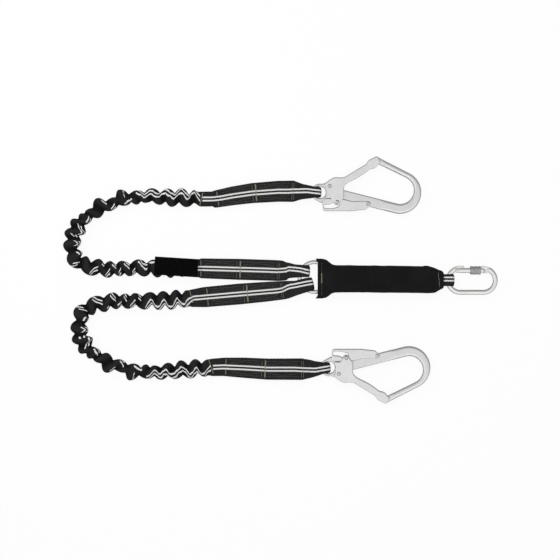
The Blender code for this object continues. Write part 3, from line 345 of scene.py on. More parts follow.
def webbing_finish(name, line_at, line_half, gathered=False):
    """Black webbing; the white lines' places and half width are in millimetres."""
    w = Wiring(name, roughness=0.82)
    along, across = w.weave_map()
    warp = w.threads(across, WARP_PITCH)
    weft = w.threads(along, WEFT_PITCH)
    thread = w.math("MULTIPLY", warp, weft)
    height = w.math("ADD", w.math("MULTIPLY", thread, 0.35), w.math("MULTIPLY", weft, 0.3))
    worn = w.ramp(w.noise(55.0, 3.0), 0.35, 0.7)
    black = w.mixed(worn, (0.0095, 0.0095, 0.0100), (0.0160, 0.0160, 0.0170))
    lift = w.ramp(height, -0.6, 0.6)
    black = w.mixed(lift, black, (0.0245, 0.0245, 0.0256))
    # Painted shade: on a gathered leg the black is darkened towards the grooves between folds and
    # left lighter on the fold tops, read from the fold share that each leg writes on its points.
    if gathered:
        painted_groove_shade = w.add("Attribute", attribute_name="painted_groove_shade").outputs["Fac"]
        black = w.mixed(w.ramp(painted_groove_shade, 0.0, 0.75), (0.0035, 0.0035, 0.0037), black)
    away = w.math("ABSOLUTE", w.math("SUBTRACT", w.math("ABSOLUTE", across), line_at))
    inside = w.math("SUBTRACT", 1.0, w.ramp(away, line_half - LINE_EDGE, line_half + LINE_EDGE))
    white = w.mixed(lift, (LINE_WHITE * 0.7,) * 3, (LINE_WHITE, LINE_WHITE, LINE_WHITE * 0.98))
    w.colour(w.mixed(inside, black, white))
    w.bump(height, 0.00025, 0.6)
    w.gleam(0.02, specular=0.06, sheen_roughness=0.45)
    return w.material


STRAP_WEBBING = webbing_finish("strap_webbing", 3.45, 1.55)
LEG_WEBBING = webbing_finish("gathered_webbing", 3.3, 1.35, gathered=True)
print("webbing finishes", STRAP_WEBBING.name, LEG_WEBBING.name)

# %% [markdown]
# Sewing thread on this lanyard is khaki where it crosses a strap and darker in the long rows.
# A fine noise is enough for its twist at this size. Cover cloth has a tighter weave than the
# webbing, and film and rubber are smooth with faint scuffs.


# %% Threads, cover cloth, film and rubber
def thread_finish(name, colour):
    """Sewing thread, darker in the grooves of its twist."""
    w = Wiring(name, roughness=0.7)
    shade = w.ramp(w.noise(900.0, 2.0), 0.3, 0.7)
    w.colour(w.mixed(shade, tuple(c * 0.6 for c in colour), colour))
    w.bump(shade, 0.0001, 0.5)
    w.gleam(0.2)
    return w.material


def cloth_finish(name, dark, pale, pitch):
    """A tight cloth for covers, with its threads' pitch in millimetres."""
    w = Wiring(name, roughness=0.86)
    along, across = w.weave_map()
    height = w.math("MULTIPLY", w.threads(along, pitch), w.threads(across, pitch))
    slow = w.ramp(w.noise(24.0, 4.0), 0.3, 0.75)
    w.colour(w.mixed(w.math("MULTIPLY", slow, w.ramp(height, -1.4, 1.0)), dark, pale))
    creases = w.math("ADD", height, w.math("MULTIPLY", w.noise(60.0, 5.0), 5.0))
    w.bump(creases, 0.00022, 0.5)
    w.gleam(0.02, specular=0.08)
    return w.material


def film_finish(name, colour, roughness):
    """Smooth film or rubber with faint scuffs."""
    w = Wiring(name, roughness=roughness)
    scuff = w.ramp(w.noise(140.0, 6.0), 0.55, 0.8)
    w.colour(w.mixed(scuff, colour, tuple(c * 1.9 + 0.002 for c in colour)))
    w.rough(w.math("ADD", w.math("MULTIPLY", scuff, 0.2), roughness))
    w.bump(w.noise(35.0, 3.0), 0.0008, 0.35)
    w.shader.inputs["Specular IOR Level"].default_value = 0.03
    return w.material


KHAKI_THREAD = thread_finish("khaki_thread", (0.52, 0.48, 0.31))
GREY_THREAD = thread_finish("dark_khaki_thread", (0.15, 0.147, 0.115))
PALE_THREAD = thread_finish("pale_thread", (0.42, 0.41, 0.36))
BAR_THREAD = thread_finish("bar_thread", (0.34, 0.335, 0.24))
COVER_CLOTH = cloth_finish("cover_cloth", (0.0065, 0.0065, 0.0068), (0.0145, 0.0145, 0.0150), 0.7)
LABEL_FILM = film_finish("label_film", (0.0012, 0.0012, 0.0013), 0.5)
CORE_RUBBER = film_finish("core_rubber", (0.05, 0.05, 0.05), 0.65)
print("threads, cloth and film ready")

# %% [markdown]
# Nearly every soft piece here is a skin stretched over rows of points: a leg, a strap, the cover.
# One helper makes such a skin from an array of rows, closes it into a tube, caps its ends and
# writes the UV map in millimetres, so each piece below is only the sum that places its points.

# %% Skins over rows of points
SAME_POINT = 1e-6  # points nearer than this, in metres, are one
SHARP_FROM = 60  # degrees between two faces of a skin


def new_piece(name, points, faces, material):
    """An object in the scene, from points in metres and faces."""
    mesh = bpy.data.meshes.new(name)
    mesh.from_pydata(points, [], faces)
    mesh.materials.append(material)
    piece = bpy.data.objects.new(name, mesh)
    bpy.context.scene.collection.objects.link(piece)
    return piece


def face_outwards(mesh, join=False):
    """Turns all faces outwards, and first joins points at the same place if asked to."""
    shape = bmesh.new()
    shape.from_mesh(mesh)
    if join:
        bmesh.ops.remove_doubles(shape, verts=shape.verts, dist=SAME_POINT)
    bmesh.ops.recalc_face_normals(shape, faces=shape.faces)
    shape.to_mesh(mesh)
    shape.free()


def skin(name, rows, weave, material, caps=True):
    """A closed tube over rows of points, shape (rows, points, 3), with UVs one column wider."""
    count, width = rows.shape[:2]
    i, k = np.meshgrid(np.arange(count - 1), np.arange(width), indexing="ij")
    i, k = i.ravel(), k.ravel()
    beside = (k + 1) % width
    quads = np.column_stack(
        [i * width + k, i * width + beside, (i + 1) * width + beside, (i + 1) * width + k]
    )
    faces = [tuple(q) for q in quads.tolist()]
    corner_uv = np.stack([weave[i, k], weave[i, k + 1], weave[i + 1, k + 1], weave[i + 1, k]], 1)
    corner_uv = corner_uv.reshape(-1, 2)
    if caps:
        faces.append(tuple(range(width - 1, -1, -1)))
        faces.append(tuple((count - 1) * width + j for j in range(width)))
        flat = [weave[0, width - 1 - j] for j in range(width)]
        flat += [weave[-1, j] for j in range(width)]
        corner_uv = np.vstack([corner_uv, flat])
    piece = new_piece(name, rows.reshape(-1, 3).tolist(), faces, material)
    layer = piece.data.uv_layers.new(name="weave")
    layer.data.foreach_set("uv", corner_uv.astype(np.float32).ravel())
    piece.data.shade_smooth()
    piece.data.set_sharp_from_angle(angle=math.radians(SHARP_FROM))
    face_outwards(piece.data)
    return piece


def run_length(points):
    """The distance along a line of points, at each of them."""
    return np.concatenate([[0], np.cumsum(np.linalg.norm(np.diff(points, axis=0), axis=1))])


def headings(points):
    """The direction of a line of points, as a unit vector at each of them."""
    ahead = np.gradient(points, axis=0)
    return ahead / np.linalg.norm(ahead, axis=1)[:, None]


def smoothstep(value):
    """0 to 1 with level ends."""
    value = np.clip(value, 0.0, 1.0)
    return value * value * (3 - 2 * value)


def ripple(points, scale, size, seed):
    """Soft seeded unevenness for an array of points."""
    flat = points.reshape(-1, 3)
    moved = [noise.noise(Vector(p) * scale + Vector((seed, seed * 0.7, 0))) for p in flat.tolist()]
    return size * np.array(moved).reshape(points.shape[:-1])


print("skin helpers ready")

# %% [markdown]
# Each leg is a wide webbing tube with a stretched rubber core. Relaxed, the core draws the
# webbing into lobes that swing from one side to the other, each one a fold running slantwise
# over the top. The lobes are placed one by one and no cloth simulation is used: a lobe is given
# by how far along the leg it stands, and how far out, on each side.

# %% Routes of the two legs
UPPER_ROUTE = [
    (-372, 166), (-388, 165.7), (-410, 168), (-438, 170), (-472, 171), (-505, 169), (-536, 164),
    (-564, 154), (-590, 141), (-613, 124), (-629, 103), (-636, 80), (-637, 57),
    (-629, 39), (-612, 28), (-589, 23), (-565, 21), (-541, 21), (-515, 22),
    (-490, 23), (-465, 24), (-440, 24), (-420, 22.6), (-403, 22), (-387, 22),
]  # fmt: skip
LOWER_ROUTE = [
    (-350, -184), (-366, -184.8), (-392, -188.5), (-421, -192), (-448, -193), (-473, -193),
    (-497, -192), (-520, -188), (-543, -182), (-564, -173), (-584, -162), (-601, -149),
    (-613, -135), (-619, -119), (-621, -101), (-619, -84), (-612, -69), (-601, -58),
    (-587, -51), (-570, -48), (-549, -46), (-525, -45), (-500, -45), (-475, -44),
    (-450, -43.6), (-426, -43.4), (-408, -42), (-392, -40.5),
]  # fmt: skip
print("route points", len(UPPER_ROUTE), len(LOWER_ROUTE))

# %% [markdown]
# The inner side of a leg is the one that faces the other leg. Each pair is a lobe's distance
# along the leg and its reach from the centre line, both in millimetres.

# %% Lobes of the two legs
UPPER_INNER_LOBES = [
    (28, 17.7), (59, 20), (84, 16.9), (115, 12.5), (133, 14.6), (156, 13.8), (190, 14.6),
    (222, 16.5), (248, 13), (277, 20.3), (304, 16.9), (336, 19.1), (362, 19.4), (395, 19.7),
    (420, 16.6), (444, 16.8), (480, 18.5), (512, 17), (540, 17), (567, 17),
]  # fmt: skip
UPPER_OUTER_LOBES = [
    (10, 20.5), (40, 20.9), (67, 18.1), (101, 17.9), (130, 15.4), (165, 22.5), (182, 11.2),
    (210, 22.5), (238, 12.3), (251, 14.7), (269, 20.5), (291, 21.5), (313, 19.8), (341, 18),
    (382, 17.7), (416, 18.7), (440, 15.6), (459, 16.4), (491, 18.4), (518, 21.4), (547, 21.9),
    (570, 18),
]  # fmt: skip
LOWER_INNER_LOBES = [
    (6, 16.5), (30, 20.4), (61, 22), (88, 18.8), (119, 13.5), (135, 15.3), (159, 14.6), (192, 16),
    (226, 17), (249, 14), (284, 21.5), (309, 16.4), (339, 14.8), (360, 18), (396, 20.9),
    (421, 17.4), (445, 17.4), (481, 19.5), (510, 21.3), (536, 21), (562, 18.4),
]  # fmt: skip
LOWER_OUTER_LOBES = [
    (14, 19.4), (43, 18.6), (75, 16), (104, 16.9), (131, 15), (167, 22.5), (185, 10.3), (214, 22),
    (241, 11.8), (255, 14.9), (273, 19.6), (294, 21.5), (315, 21), (344, 22), (378, 16.5),
    (416, 18.3), (441, 14.9), (460, 16), (493, 17), (519, 18.7), (547, 21), (571, 18.5),
]  # fmt: skip
print("lobes", len(UPPER_INNER_LOBES), len(UPPER_OUTER_LOBES))
print("lobes", len(LOWER_INNER_LOBES), len(LOWER_OUTER_LOBES))

# %% [markdown]
# The white lines wander over the folds and come to the top only in places. Each run gives
# (distance along the leg in mm, angle round it in degrees), where 0 is on the left of the route
# and 90 is on top.

# %% Where the white lines show
UPPER_LINES = [
    [(0, 92), (5, 112), (11, 140), (18, 146), (21.5, 127), (26, 113), (31, 111), (36, 120),
     (40.5, 126), (44, 118), (48, 112), (54.5, 110), (60, 108), (68, 113), (75.5, 131), (81.5, 134),
     (87, 108), (93.5, 98), (100.5, 105), (104.5, 109), (109, 104), (113.5, 103), (119, 109),
     (126, 125), (133, 155)],
    [(142, 49), (151, 40), (160, 23)],
    [(180, 64), (186, 40), (191, 24)],
    [(195, 132), (199, 138), (203, 157)],
    [(155.6, 108), (158.2, 137)],
    [(240, 68), (245, 49), (254, 26)],
    [(267, 83), (273, 72), (276, 46), (283, 30), (288.5, 23)],
    [(289, 81), (294.5, 64)],
    [(302, 76), (305, 48), (309, 32), (315, 58)],
    [(328.5, 44), (339.5, 37)],
    [(346, 140), (350, 110), (354, 93)],
    [(379.5, 157), (383, 122), (388, 103), (396, 101)],
    [(403, 33), (408, 25)],
    [(410.5, 157), (415.5, 119), (421, 98)],
    [(424.5, 40), (433, 61)],
    [(437.5, 157), (440, 123), (443, 102)],
    [(449.5, 30), (454.5, 54), (461, 63)],
    [(466, 139), (469, 122), (473, 113)],
    [(478.5, 23), (483.5, 42), (487, 66), (491.5, 72), (498, 68)],
    [(502, 20), (508, 29), (514, 34)],
]  # fmt: skip
LOWER_LINES = [
    [(0, 88), (8, 68), (15, 41), (21.5, 35), (25, 53), (29.5, 67), (34, 69), (39, 60), (43.5, 54),
     (47.5, 68), (52.5, 84), (60, 84), (67, 83), (76, 71), (82, 49), (87.5, 46), (92, 78),
     (97.5, 87), (103.5, 77), (107.5, 73), (111.5, 83), (115.5, 85), (121, 73), (127, 55),
     (134, 25)],
    [(143, 131), (152.5, 140), (161.5, 157)],
    [(182.5, 116), (188.5, 140), (194, 156)],
    [(198.5, 48), (202.5, 42), (207, 23)],
    [(157.3, 72), (160, 43)],
    [(243, 112), (248.5, 131), (258, 154)],
    [(271, 97), (277, 108), (280, 134), (286.5, 150), (291.5, 157)],
    [(292, 99), (297.5, 116)],
    [(304.5, 104), (307, 132), (310, 148), (317, 122)],
    [(331, 136), (342.5, 143)],
    [(348, 40), (351.5, 70), (355, 87)],
    [(376, 23), (379, 60), (385, 77), (394, 79)],
    [(401.5, 147), (406.5, 155)],
    [(410, 23), (415.5, 61), (421.5, 82)],
    [(425, 140), (434, 119)],
    [(438.5, 23), (441, 57), (444, 78)],
    [(450.5, 150), (455.5, 126), (462.5, 117)],
    [(467.5, 41), (470.5, 58), (474.5, 67)],
    [(481, 157), (487, 126), (494.5, 113), (501, 128), (507.5, 148), (513, 132), (519.5, 113),
     (528, 132), (535.5, 149), (541, 132), (549, 112), (556, 124), (562, 140), (568, 120),
     (576, 98), (581, 92)],
]  # fmt: skip
print("runs of white line", len(UPPER_LINES), len(LOWER_LINES))

# %% [markdown]
# A route is only a few dozen points, so a smooth curve is laid through them and cut into even
# steps. The other helpers read the lobes: how far out the webbing stands, how near the tip of a
# lobe is, and how a white line turns from one mark to the next.

# %% Curves along a leg
LEAST_REACH = 7.4  # the webbing never draws in further than this, in mm
LAST_SPAN = 28.0  # span of the lobes at a leg's very ends


def smooth_route(points, step):
    """Points along a smooth curve through a route, its distances and its headings."""
    knots = np.array(points, float)
    knots = np.vstack([2 * knots[0] - knots[1], knots, 2 * knots[-1] - knots[-2]])
    fine = []
    for i in range(1, len(knots) - 2):
        a, b, c, d = knots[i - 1 : i + 3]
        square = 2 * a - 5 * b + 4 * c - d
        cube = 3 * b - a - 3 * c + d
        for t in np.arange(0, 1, 0.05):
            fine.append(0.5 * (2 * b + (c - a) * t + square * t**2 + cube * t**3))
    fine = np.array(fine + [knots[-2]])
    along = run_length(fine)
    even = np.linspace(0, along[-1], round(along[-1] / step) + 1)
    line = np.column_stack([np.interp(even, along, fine[:, i]) for i in range(2)])
    return line, even, headings(line)


def lobe_reach(distance, lobes):
    """How far out the webbing stands on one side, in mm."""
    after = next((i for i, lobe in enumerate(lobes) if lobe[0] > distance), len(lobes))
    before = max(after - 1, 0)
    after = min(after, len(lobes) - 1)
    near, far = lobes[before], lobes[after]
    span = far[0] - near[0] if before != after else LAST_SPAN
    valley = max(LEAST_REACH, min(near[1], far[1]) - 0.5 * span)
    if abs(far[0] - distance) < abs(near[0] - distance):
        near = far
    share = min(abs(distance - near[0]) / (span / 2), 1.0)
    return valley + (near[1] - valley) * math.cos(share * math.pi / 2) ** 0.68


def nearness(distance, lobes):
    """1 at the tip of a lobe and 0 midway between two, for an array of distances."""
    tips = [place for place, _ in lobes]
    marks = [tips[0] - LAST_SPAN / 2, tips[0]]
    level = [0.0, 1.0]
    for near, far in zip(tips, tips[1:]):
        marks += [(near + far) / 2, far]
        level += [0.0, 1.0]
    marks.append(tips[-1] + LAST_SPAN / 2)
    level.append(0.0)
    return smoothstep(np.interp(distance, marks, level))


def softened(values, reach):
    """Rounds the corners of an evenly spaced curve over a few points."""
    weight = np.hanning(2 * reach + 3)[1:-1]
    padded = np.pad(values, reach, mode="edge")
    return np.convolve(padded, weight / weight.sum(), mode="valid")


def smooth_turns(marks, turns, at):
    """A curve through the turns of a white line, level at its peaks and without a corner."""
    marks, turns = np.array(marks, float), np.array(turns, float)
    run = np.diff(marks)
    climb = np.diff(turns) / run
    slope = np.concatenate([climb[:1], np.zeros(len(marks) - 2), climb[-1:]])
    for i in range(1, len(marks) - 1):
        if climb[i - 1] * climb[i] > 0:
            slope[i] = 2 * climb[i - 1] * climb[i] / (climb[i - 1] + climb[i])
    i = (np.searchsorted(marks, at, side="right") - 1).clip(0, len(run) - 1)
    t = (at - marks[i]) / run[i]
    bent = (t**3 - 2 * t**2 + t) * slope[i] + (t**3 - t**2) * slope[i + 1]
    return turns[i] + (3 * t**2 - 2 * t**3) * (turns[i + 1] - turns[i]) + bent * run[i]


print("curve helpers ready")

# %% [markdown]
# The skin follows the route ring by ring. On each ring the webbing reaches as far out on the
# left and on the right as the lobes there say. A fold leaves its lobe on one side and arrives
# at the next lobe on the other side, a little further along, so the height of the skin is read
# along that slant: high on a fold, low in the groove between two.

# %% Skin of a gathered leg
AROUND = 64  # points round the webbing
STEP = 0.9  # between rings, in mm
SLEEVE_OVER = 5.0  # how far the tube runs on over the strap that it is sewn to
TUBE_HIGH = 9.8
END_HIGH = 3.6  # half its height where it is sewn flat
FLAT_RUN = 14.0  # how far from an end the lobes grow to their full reach
RISE_RUN = 16.0  # and the tube to its full height
GROOVE = 0.42  # height in a groove, as a share of the height on a fold
STEEPEST = 1.1  # a white line's slope is read up to this
NO_LINE = 100  # added to V, so that it is far from any white line


def line_distances(girth, along, lines):
    """V of the webbing: near a white line the distance from it, and a large number elsewhere."""
    angles = np.linspace(-90, 270, AROUND + 1)
    across = NO_LINE + girth
    for path in lines:
        marks, turns = zip(*path)
        on = np.flatnonzero((along >= marks[0]) & (along <= marks[-1]))
        where = smooth_turns(marks, turns, along[on])
        line = np.array([np.interp(turn, angles, girth[i]) for i, turn in zip(on, where)])
        slope = softened(np.gradient(line, along[on]), 2).clip(-STEEPEST, STEEPEST)
        for i, middle, lean in zip(on, line, slope):
            half_girth = girth[i, -1] / 2  # the webbing's under face has the same lines
            apart = np.abs((girth[i] - middle + half_girth / 2) % half_girth - half_girth / 2)
            across[i] = np.minimum(across[i], apart / math.hypot(1, lean))
    return across


def gathered_leg(name, route, sides, ends, lines, slant, seed):
    """The webbing skin of one leg; slant is how far along a fold moves as it crosses over."""
    centre, along, ahead = smooth_route(route, STEP)
    core_path = [(x * MM, y * MM, WEB_LEVEL) for x, y in centre[::4]]
    core_path.append((*(centre[-1] * MM), WEB_LEVEL))
    length = along[-1]
    spare = np.arange(STEP, SLEEVE_OVER, STEP)[:, None]
    centre = np.vstack([centre[0] - ahead[0] * spare[::-1], centre, centre[-1] + ahead[-1] * spare])
    along = np.concatenate([-spare[::-1, 0], along, length + spare[:, 0]])
    ahead = np.vstack([ahead[:1]] * len(spare) + [ahead] + [ahead[-1:]] * len(spare))
    normal = np.column_stack([-ahead[:, 1], ahead[:, 0]])
    from_end = np.minimum(along, length - along).clip(0)
    left, right = (softened(np.array([lobe_reach(s, lobes) for s in along]), 3) for lobes in sides)
    flat = smoothstep(from_end / FLAT_RUN)
    sewn_half = np.interp(along, (0, length), ends)
    left = sewn_half + flat * (left - sewn_half)
    right = sewn_half + flat * (right - sewn_half)
    shift = ((left - right) / 2)[:, None]
    half = ((left + right) / 2)[:, None]
    turn = np.radians(np.linspace(-90, 270, AROUND + 1)[:-1])[None, :]
    over = smoothstep((1 - np.cos(turn)) / 2)
    on_left = nearness(along[:, None] - slant * (1 - np.cos(turn)) / 2, sides[0])
    on_right = nearness(along[:, None] + slant * (1 + np.cos(turn)) / 2, sides[1])
    fold = on_left * (1 - over) + on_right * over
    high = (END_HIGH + smoothstep(from_end / RISE_RUN) * (TUBE_HIGH - END_HIGH))[:, None]
    full = GROOVE + (1 - GROOVE) * fold**0.6
    full = 1 + flat[:, None] * (full - 1)
    across = shift + half * np.sign(np.cos(turn)) * np.abs(np.cos(turn)) ** 0.85
    height = high * full * np.sign(np.sin(turn)) * np.abs(np.sin(turn)) ** 0.8
    rows = np.empty((len(along), AROUND, 3))
    rows[:, :, :2] = centre[:, None, :] + normal[:, None, :] * across[:, :, None]
    rows[:, :, 2] = height + LEVEL
    rows[:, :, 2] += ripple(rows, 0.11, 0.9, seed) * flat[:, None] * np.sin(turn)
    closed = np.concatenate([rows, rows[:, :1]], axis=1)
    round_it = np.linalg.norm(np.diff(closed, axis=1), axis=2)
    girth = np.concatenate([np.zeros((len(along), 1)), np.cumsum(round_it, axis=1)], axis=1)
    weave = np.empty((len(along), AROUND + 1, 2))
    weave[:, :, 0] = along[:, None]
    weave[:, :, 1] = line_distances(girth, along, lines)
    piece = skin(name, rows * MM, weave, LEG_WEBBING)
    print(name, "length", round(length, 1), "mm, widest", round(2 * half.max(), 1), "mm")
    # Each point keeps its fold share, 1 on a fold and 0 in a groove, and a flat 0.7 near the sewn
    # ends; the webbing's finish paints shade into the grooves from it.
    painted_groove_shade = piece.data.attributes.new("painted_groove_shade", "FLOAT", "POINT")
    painted_fold_light = fold * flat[:, None] + 0.7 * (1 - flat[:, None])
    painted_groove_shade.data.foreach_set("value", painted_fold_light.astype(np.float32).ravel())
    return piece, core_path, length * MM


# %% [markdown]
# Both legs come from the same function. Seen along its route the upper leg has its inner lobes
# on the left and the lower leg has them on the right, and their folds slant opposite ways.

# %% Gathered legs
UPPER_SIDES = (UPPER_INNER_LOBES, UPPER_OUTER_LOBES)
LOWER_SIDES = (LOWER_OUTER_LOBES, LOWER_INNER_LOBES)
UPPER_ENDS = (15.3, 17.4)  # half widths where a tube is sewn flat, hook end first
LOWER_ENDS = (17.4, 17.4)
SLANT = 14.0

upper_leg, upper_path, upper_length = gathered_leg(
    "upper_gathered_webbing", UPPER_ROUTE, UPPER_SIDES, UPPER_ENDS, UPPER_LINES, SLANT, 3.0
)
lower_leg, lower_path, lower_length = gathered_leg(
    "lower_gathered_webbing", LOWER_ROUTE, LOWER_SIDES, LOWER_ENDS, LOWER_LINES, -SLANT, 8.0
)
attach(upper_leg, "leg_upper")
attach(lower_leg, "leg_lower")
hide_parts("leg_upper_elastic")
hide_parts("leg_lower_elastic")

# %% [markdown]
# The label is a strip of dark film folded once round the leg and open along the lower edge,
# where the webbing peeps out. It bulges a little over the folds below it.

# %% Label sleeve
LABEL_CENTRE = (-421.4, 25.0)
LABEL_LENGTH = 90.0
LABEL_HALF = 19.0
LABEL_TURN = math.radians(-3.6)
LABEL_WALL = 0.8
LABEL_CORNER = 4.0
LABEL_HIGH = 10.5


def label_sleeve(name):
    """A U of film: over the leg, round its upper edge and back under it."""
    top_run = 2 * LABEL_HALF - LABEL_CORNER
    flat_top = [(-LABEL_HALF + t * top_run, LABEL_HIGH) for t in np.linspace(0, 1, 24)]
    bend_y, bend_z = LABEL_HALF - LABEL_CORNER, LABEL_HIGH - LABEL_CORNER
    bend = [
        (bend_y + LABEL_CORNER * math.cos(a), bend_z + LABEL_CORNER * math.sin(a))
        for a in np.radians(np.linspace(80, 0, 8))
    ]
    upper = np.array(flat_top + bend)
    outer = np.vstack([upper, upper[::-1] * (1, -1)])
    ahead = headings(outer)
    inner = outer - LABEL_WALL * np.column_stack([-ahead[:, 1], ahead[:, 0]])
    ring = np.vstack([outer, inner[::-1]])
    around = run_length(outer)
    around = np.concatenate([around, around[::-1], around[:1]])
    marks = np.linspace(-LABEL_LENGTH / 2, LABEL_LENGTH / 2, 46)
    rows = np.empty((len(marks), len(ring), 3))
    x = marks[:, None]
    y = ring[None, :, 0]
    face = np.clip(np.abs(ring[None, :, 1]) / LABEL_HIGH, 0, 1) ** 3
    swell = 0.45 * np.sin(x / 4.3 + y / 9.0) * face
    rows[:, :, 0] = LABEL_CENTRE[0] + x * math.cos(LABEL_TURN) - y * math.sin(LABEL_TURN)
    rows[:, :, 1] = LABEL_CENTRE[1] + x * math.sin(LABEL_TURN) + y * math.cos(LABEL_TURN)
    rows[:, :, 2] = LEVEL + ring[None, :, 1] + swell * np.sign(ring[None, :, 1])
    weave = np.empty((len(marks), len(ring) + 1, 2))
    weave[:, :, 0] = x
    weave[:, :, 1] = around[None, :]
    return skin(name, rows * MM, weave, LABEL_FILM)


label = label_sleeve("bare_label_sleeve")
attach(label, "leg_upper")
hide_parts("leg_upper_label_sleeve")
for node in ("leg_upper_elastic_core", "leg_lower_elastic_core"):
    nodes[node].material_slots[0].material = CORE_RUBBER
print("label and cords ready")

# %% [markdown]
# Each leg ends in flat straps: the webbing runs out to a hook or to the ring, goes round the
# bar and comes back under itself, and three bands of stitching hold the two layers. Where it
# nears the bar its edges are folded in, so it grows narrower while its white lines keep
# their distance. A plan gives x, y and half width along a strap, in millimetres.

# %% Plans of the straps
EYE_BAR = 5.5  # half the hook frame's thickness
RING_BAR = 4.0  # radius of the ring's bar
OVAL_BAR = 5.0  # and of the carabiner's
SEAT = 0.3
WEB = 2.2  # thickness of one layer
SEWN = 1.25  # from the middle plane to the middle of each sewn layer
STRAPS = {
    "leg_upper_hook_strap": dict(
        body="leg_upper", bar=EYE_BAR, reach=13.2, part=196, back=27,
        plan=[
            (-371.4, 166, 15.0), (-346, 166.3, 15.0), (-343, 165.6, 17.2), (-304, 172.8, 19),
            (-263, 178.6, 20.3), (-210, 182.3, 21.2), (-178, 182.4, 21.6), (-160, 181.6, 15.4),
            (-136, 180.4, 11.2), (-120.05, 180, 10),
        ],
        lines=[(-346, 0), (-343, 0.9), (-328, 0), (-190, 0), (-168, 1.0), (-150, 2.2), (-120, 0)],
    ),
    "leg_lower_hook_strap": dict(
        body="leg_lower", bar=EYE_BAR, reach=13.2, part=192, back=27,
        plan=[
            (-349.4, -184, 17.4), (-324, -182.8, 18.5), (-282, -184.6, 20.5), (-231, -187.6, 21.4),
            (-160, -187.6, 21.8), (-142, -187.0, 18), (-133, -186.8, 15.4), (-118, -185.2, 11.6),
            (-101.15, -184.0, 10),
        ],
        lines=[(-175, 0), (-150, -1.6), (-133, -2.4), (-115, -1.2), (-101, 0.2)],
    ),
    "leg_upper_ring_strap": dict(
        body="leg_upper", bar=RING_BAR, reach=15.5, part=185, back=8,
        plan=[
            (-386.6, 22, 17.4), (-377, 22, 17.8), (-369, 22, 20.2), (-291, 19.9, 21.3),
            (-232, 18.2, 21.1), (-210, 17.3, 21.1), (-200, 17.1, 20.3), (-193, 16.0, 18.3),
            (-188, 17.8, 15.7), (-176, 16.4, 13.4), (-164, 16.5, 12.5), (-143.8, 16.0, 11.6),
        ],
        lines=[(-212, 0), (-200, 1.0), (-190, 3.4), (-176, 3.9), (-164, 2.4), (-143.8, -2.0)],
    ),
    "leg_lower_ring_strap": dict(
        body="leg_lower", bar=RING_BAR, reach=15.5, part=190, back=8,
        plan=[
            (-391.6, -40.5, 17.4), (-363, -37.8, 20.5), (-291, -31.4, 21.2), (-232, -26.4, 20.0),
            (-203, -23.9, 18.8), (-193, -22.7, 18.3), (-172, -18.6, 14.7), (-157, -14.4, 14.0),
            (-150, -12.4, 14.2), (-136.4, -9.2, 12.9),
        ],
        lines=[(-210, 0), (-200, 1.2), (-190, 4.8), (-182, 5.6), (-164, 4.6), (-138.8, 2.6)],
    ),
    "absorber_ring_strap": dict(
        body="absorber", bar=RING_BAR, reach=6.5, part=8.5, back=1,
        plan=[(-87.3, 3.6, 21), (-94.8, 3.7, 19), (-99.2, 4.1, 14.4), (-114.2, 4.1, 13.6)],
    ),
    "absorber_carabiner_strap": dict(
        body="absorber", bar=OVAL_BAR, reach=4, part=26, back=1,
        plan=[(102.1, -0.6, 20), (118, -1.6, 17), (126, -2.4, 11.9), (156.6, -2.6, 11.9)],
        lines=[(100, 0), (126, 2.3), (156.6, 2.3)],
    ),
}  # fmt: skip
print("straps", len(STRAPS))

# %% [markdown]
# A plan is read by the distance along it. Its heading is averaged over a few millimetres, so the
# strap turns gently where two stretches of its plan meet.


# %% Reading a plan
class Plan:
    """A strap's centre line, read by the distance along it."""

    def __init__(self, points, lines):
        self.points = np.array(points, float)
        self.lines = lines
        steps = np.diff(self.points[:, :2], axis=0)
        self.along = np.concatenate([[0], np.cumsum(np.hypot(steps[:, 0], steps[:, 1]))])
        self.length = self.along[-1]
        fine = np.linspace(0, self.length, 400)
        heading = np.unwrap(np.arctan2(steps[:, 1], steps[:, 0]))
        blocky = heading[np.searchsorted(self.along, fine, side="right").clip(1, len(steps)) - 1]
        spread = np.exp(-(((fine[:, None] - fine[None]) / 9.0) ** 2))
        self.fine = fine
        self.heading = (spread @ blocky) / spread.sum(axis=1)

    def at(self, distance):
        """x, y, half width and heading at an array of distances."""
        x, y, half = (np.interp(distance, self.along, self.points[:, i]) for i in range(3))
        return x, y, half, np.interp(distance, self.fine, self.heading)

    def spot(self, distance, across, height):
        """A point on the strap, in mm."""
        x, y, _, angle = self.at(np.asarray(distance, float))
        out = [x - np.sin(angle) * across, y + np.cos(angle) * across]
        return np.stack(np.broadcast_arrays(*out, height), axis=-1)


plans = {name: Plan(facts["plan"], facts.get("lines", [(0, 0)])) for name, facts in STRAPS.items()}
print("strap lengths", {name: round(plan.length) for name, plan in plans.items()})

# %% [markdown]
# A ribbon has a real thickness and soft round selvedges. Where the webbing is folded narrow,
# the turned-in edges make it thicker and let its sides droop, which shades the strap there.

# %% Ribbons of webbing
FULL_HALF = 21.5  # half width of the webbing laid flat
ACROSS = 27  # points across each face
SELVEDGE = np.array([0.6, 0.0, -0.6])  # height of its three points, in half thicknesses
STANDS_OUT = np.array([0.45, 0.6, 0.45])  # how far they stand out, in mm


def strap_route(plan, facts):
    """Distance along the plan and height above the middle plane, out, round the bar and back."""
    wrap = facts["bar"] + SEAT + WEB / 2
    fold = plan.length - wrap - WEB / 2
    part, full = facts["part"], fold - facts["reach"]
    upper = [(s, SEWN) for s in np.arange(0, part, 2.5)]
    for t in np.linspace(0, 1, 13):
        upper.append((part + t * (full - part), SEWN + smoothstep(t) * (wrap - SEWN)))
    upper += [(full + t * (fold - full), wrap) for t in np.linspace(0.2, 1, 5)]
    turns = np.radians(np.arange(8, 180, 8))
    bend = [(fold + wrap * math.sin(a), wrap * math.cos(a)) for a in turns]
    lower = [(s, -z) for s, z in reversed(upper) if s > facts["back"] + 0.5]
    return np.array(upper + bend + lower + [(facts["back"], -SEWN)])


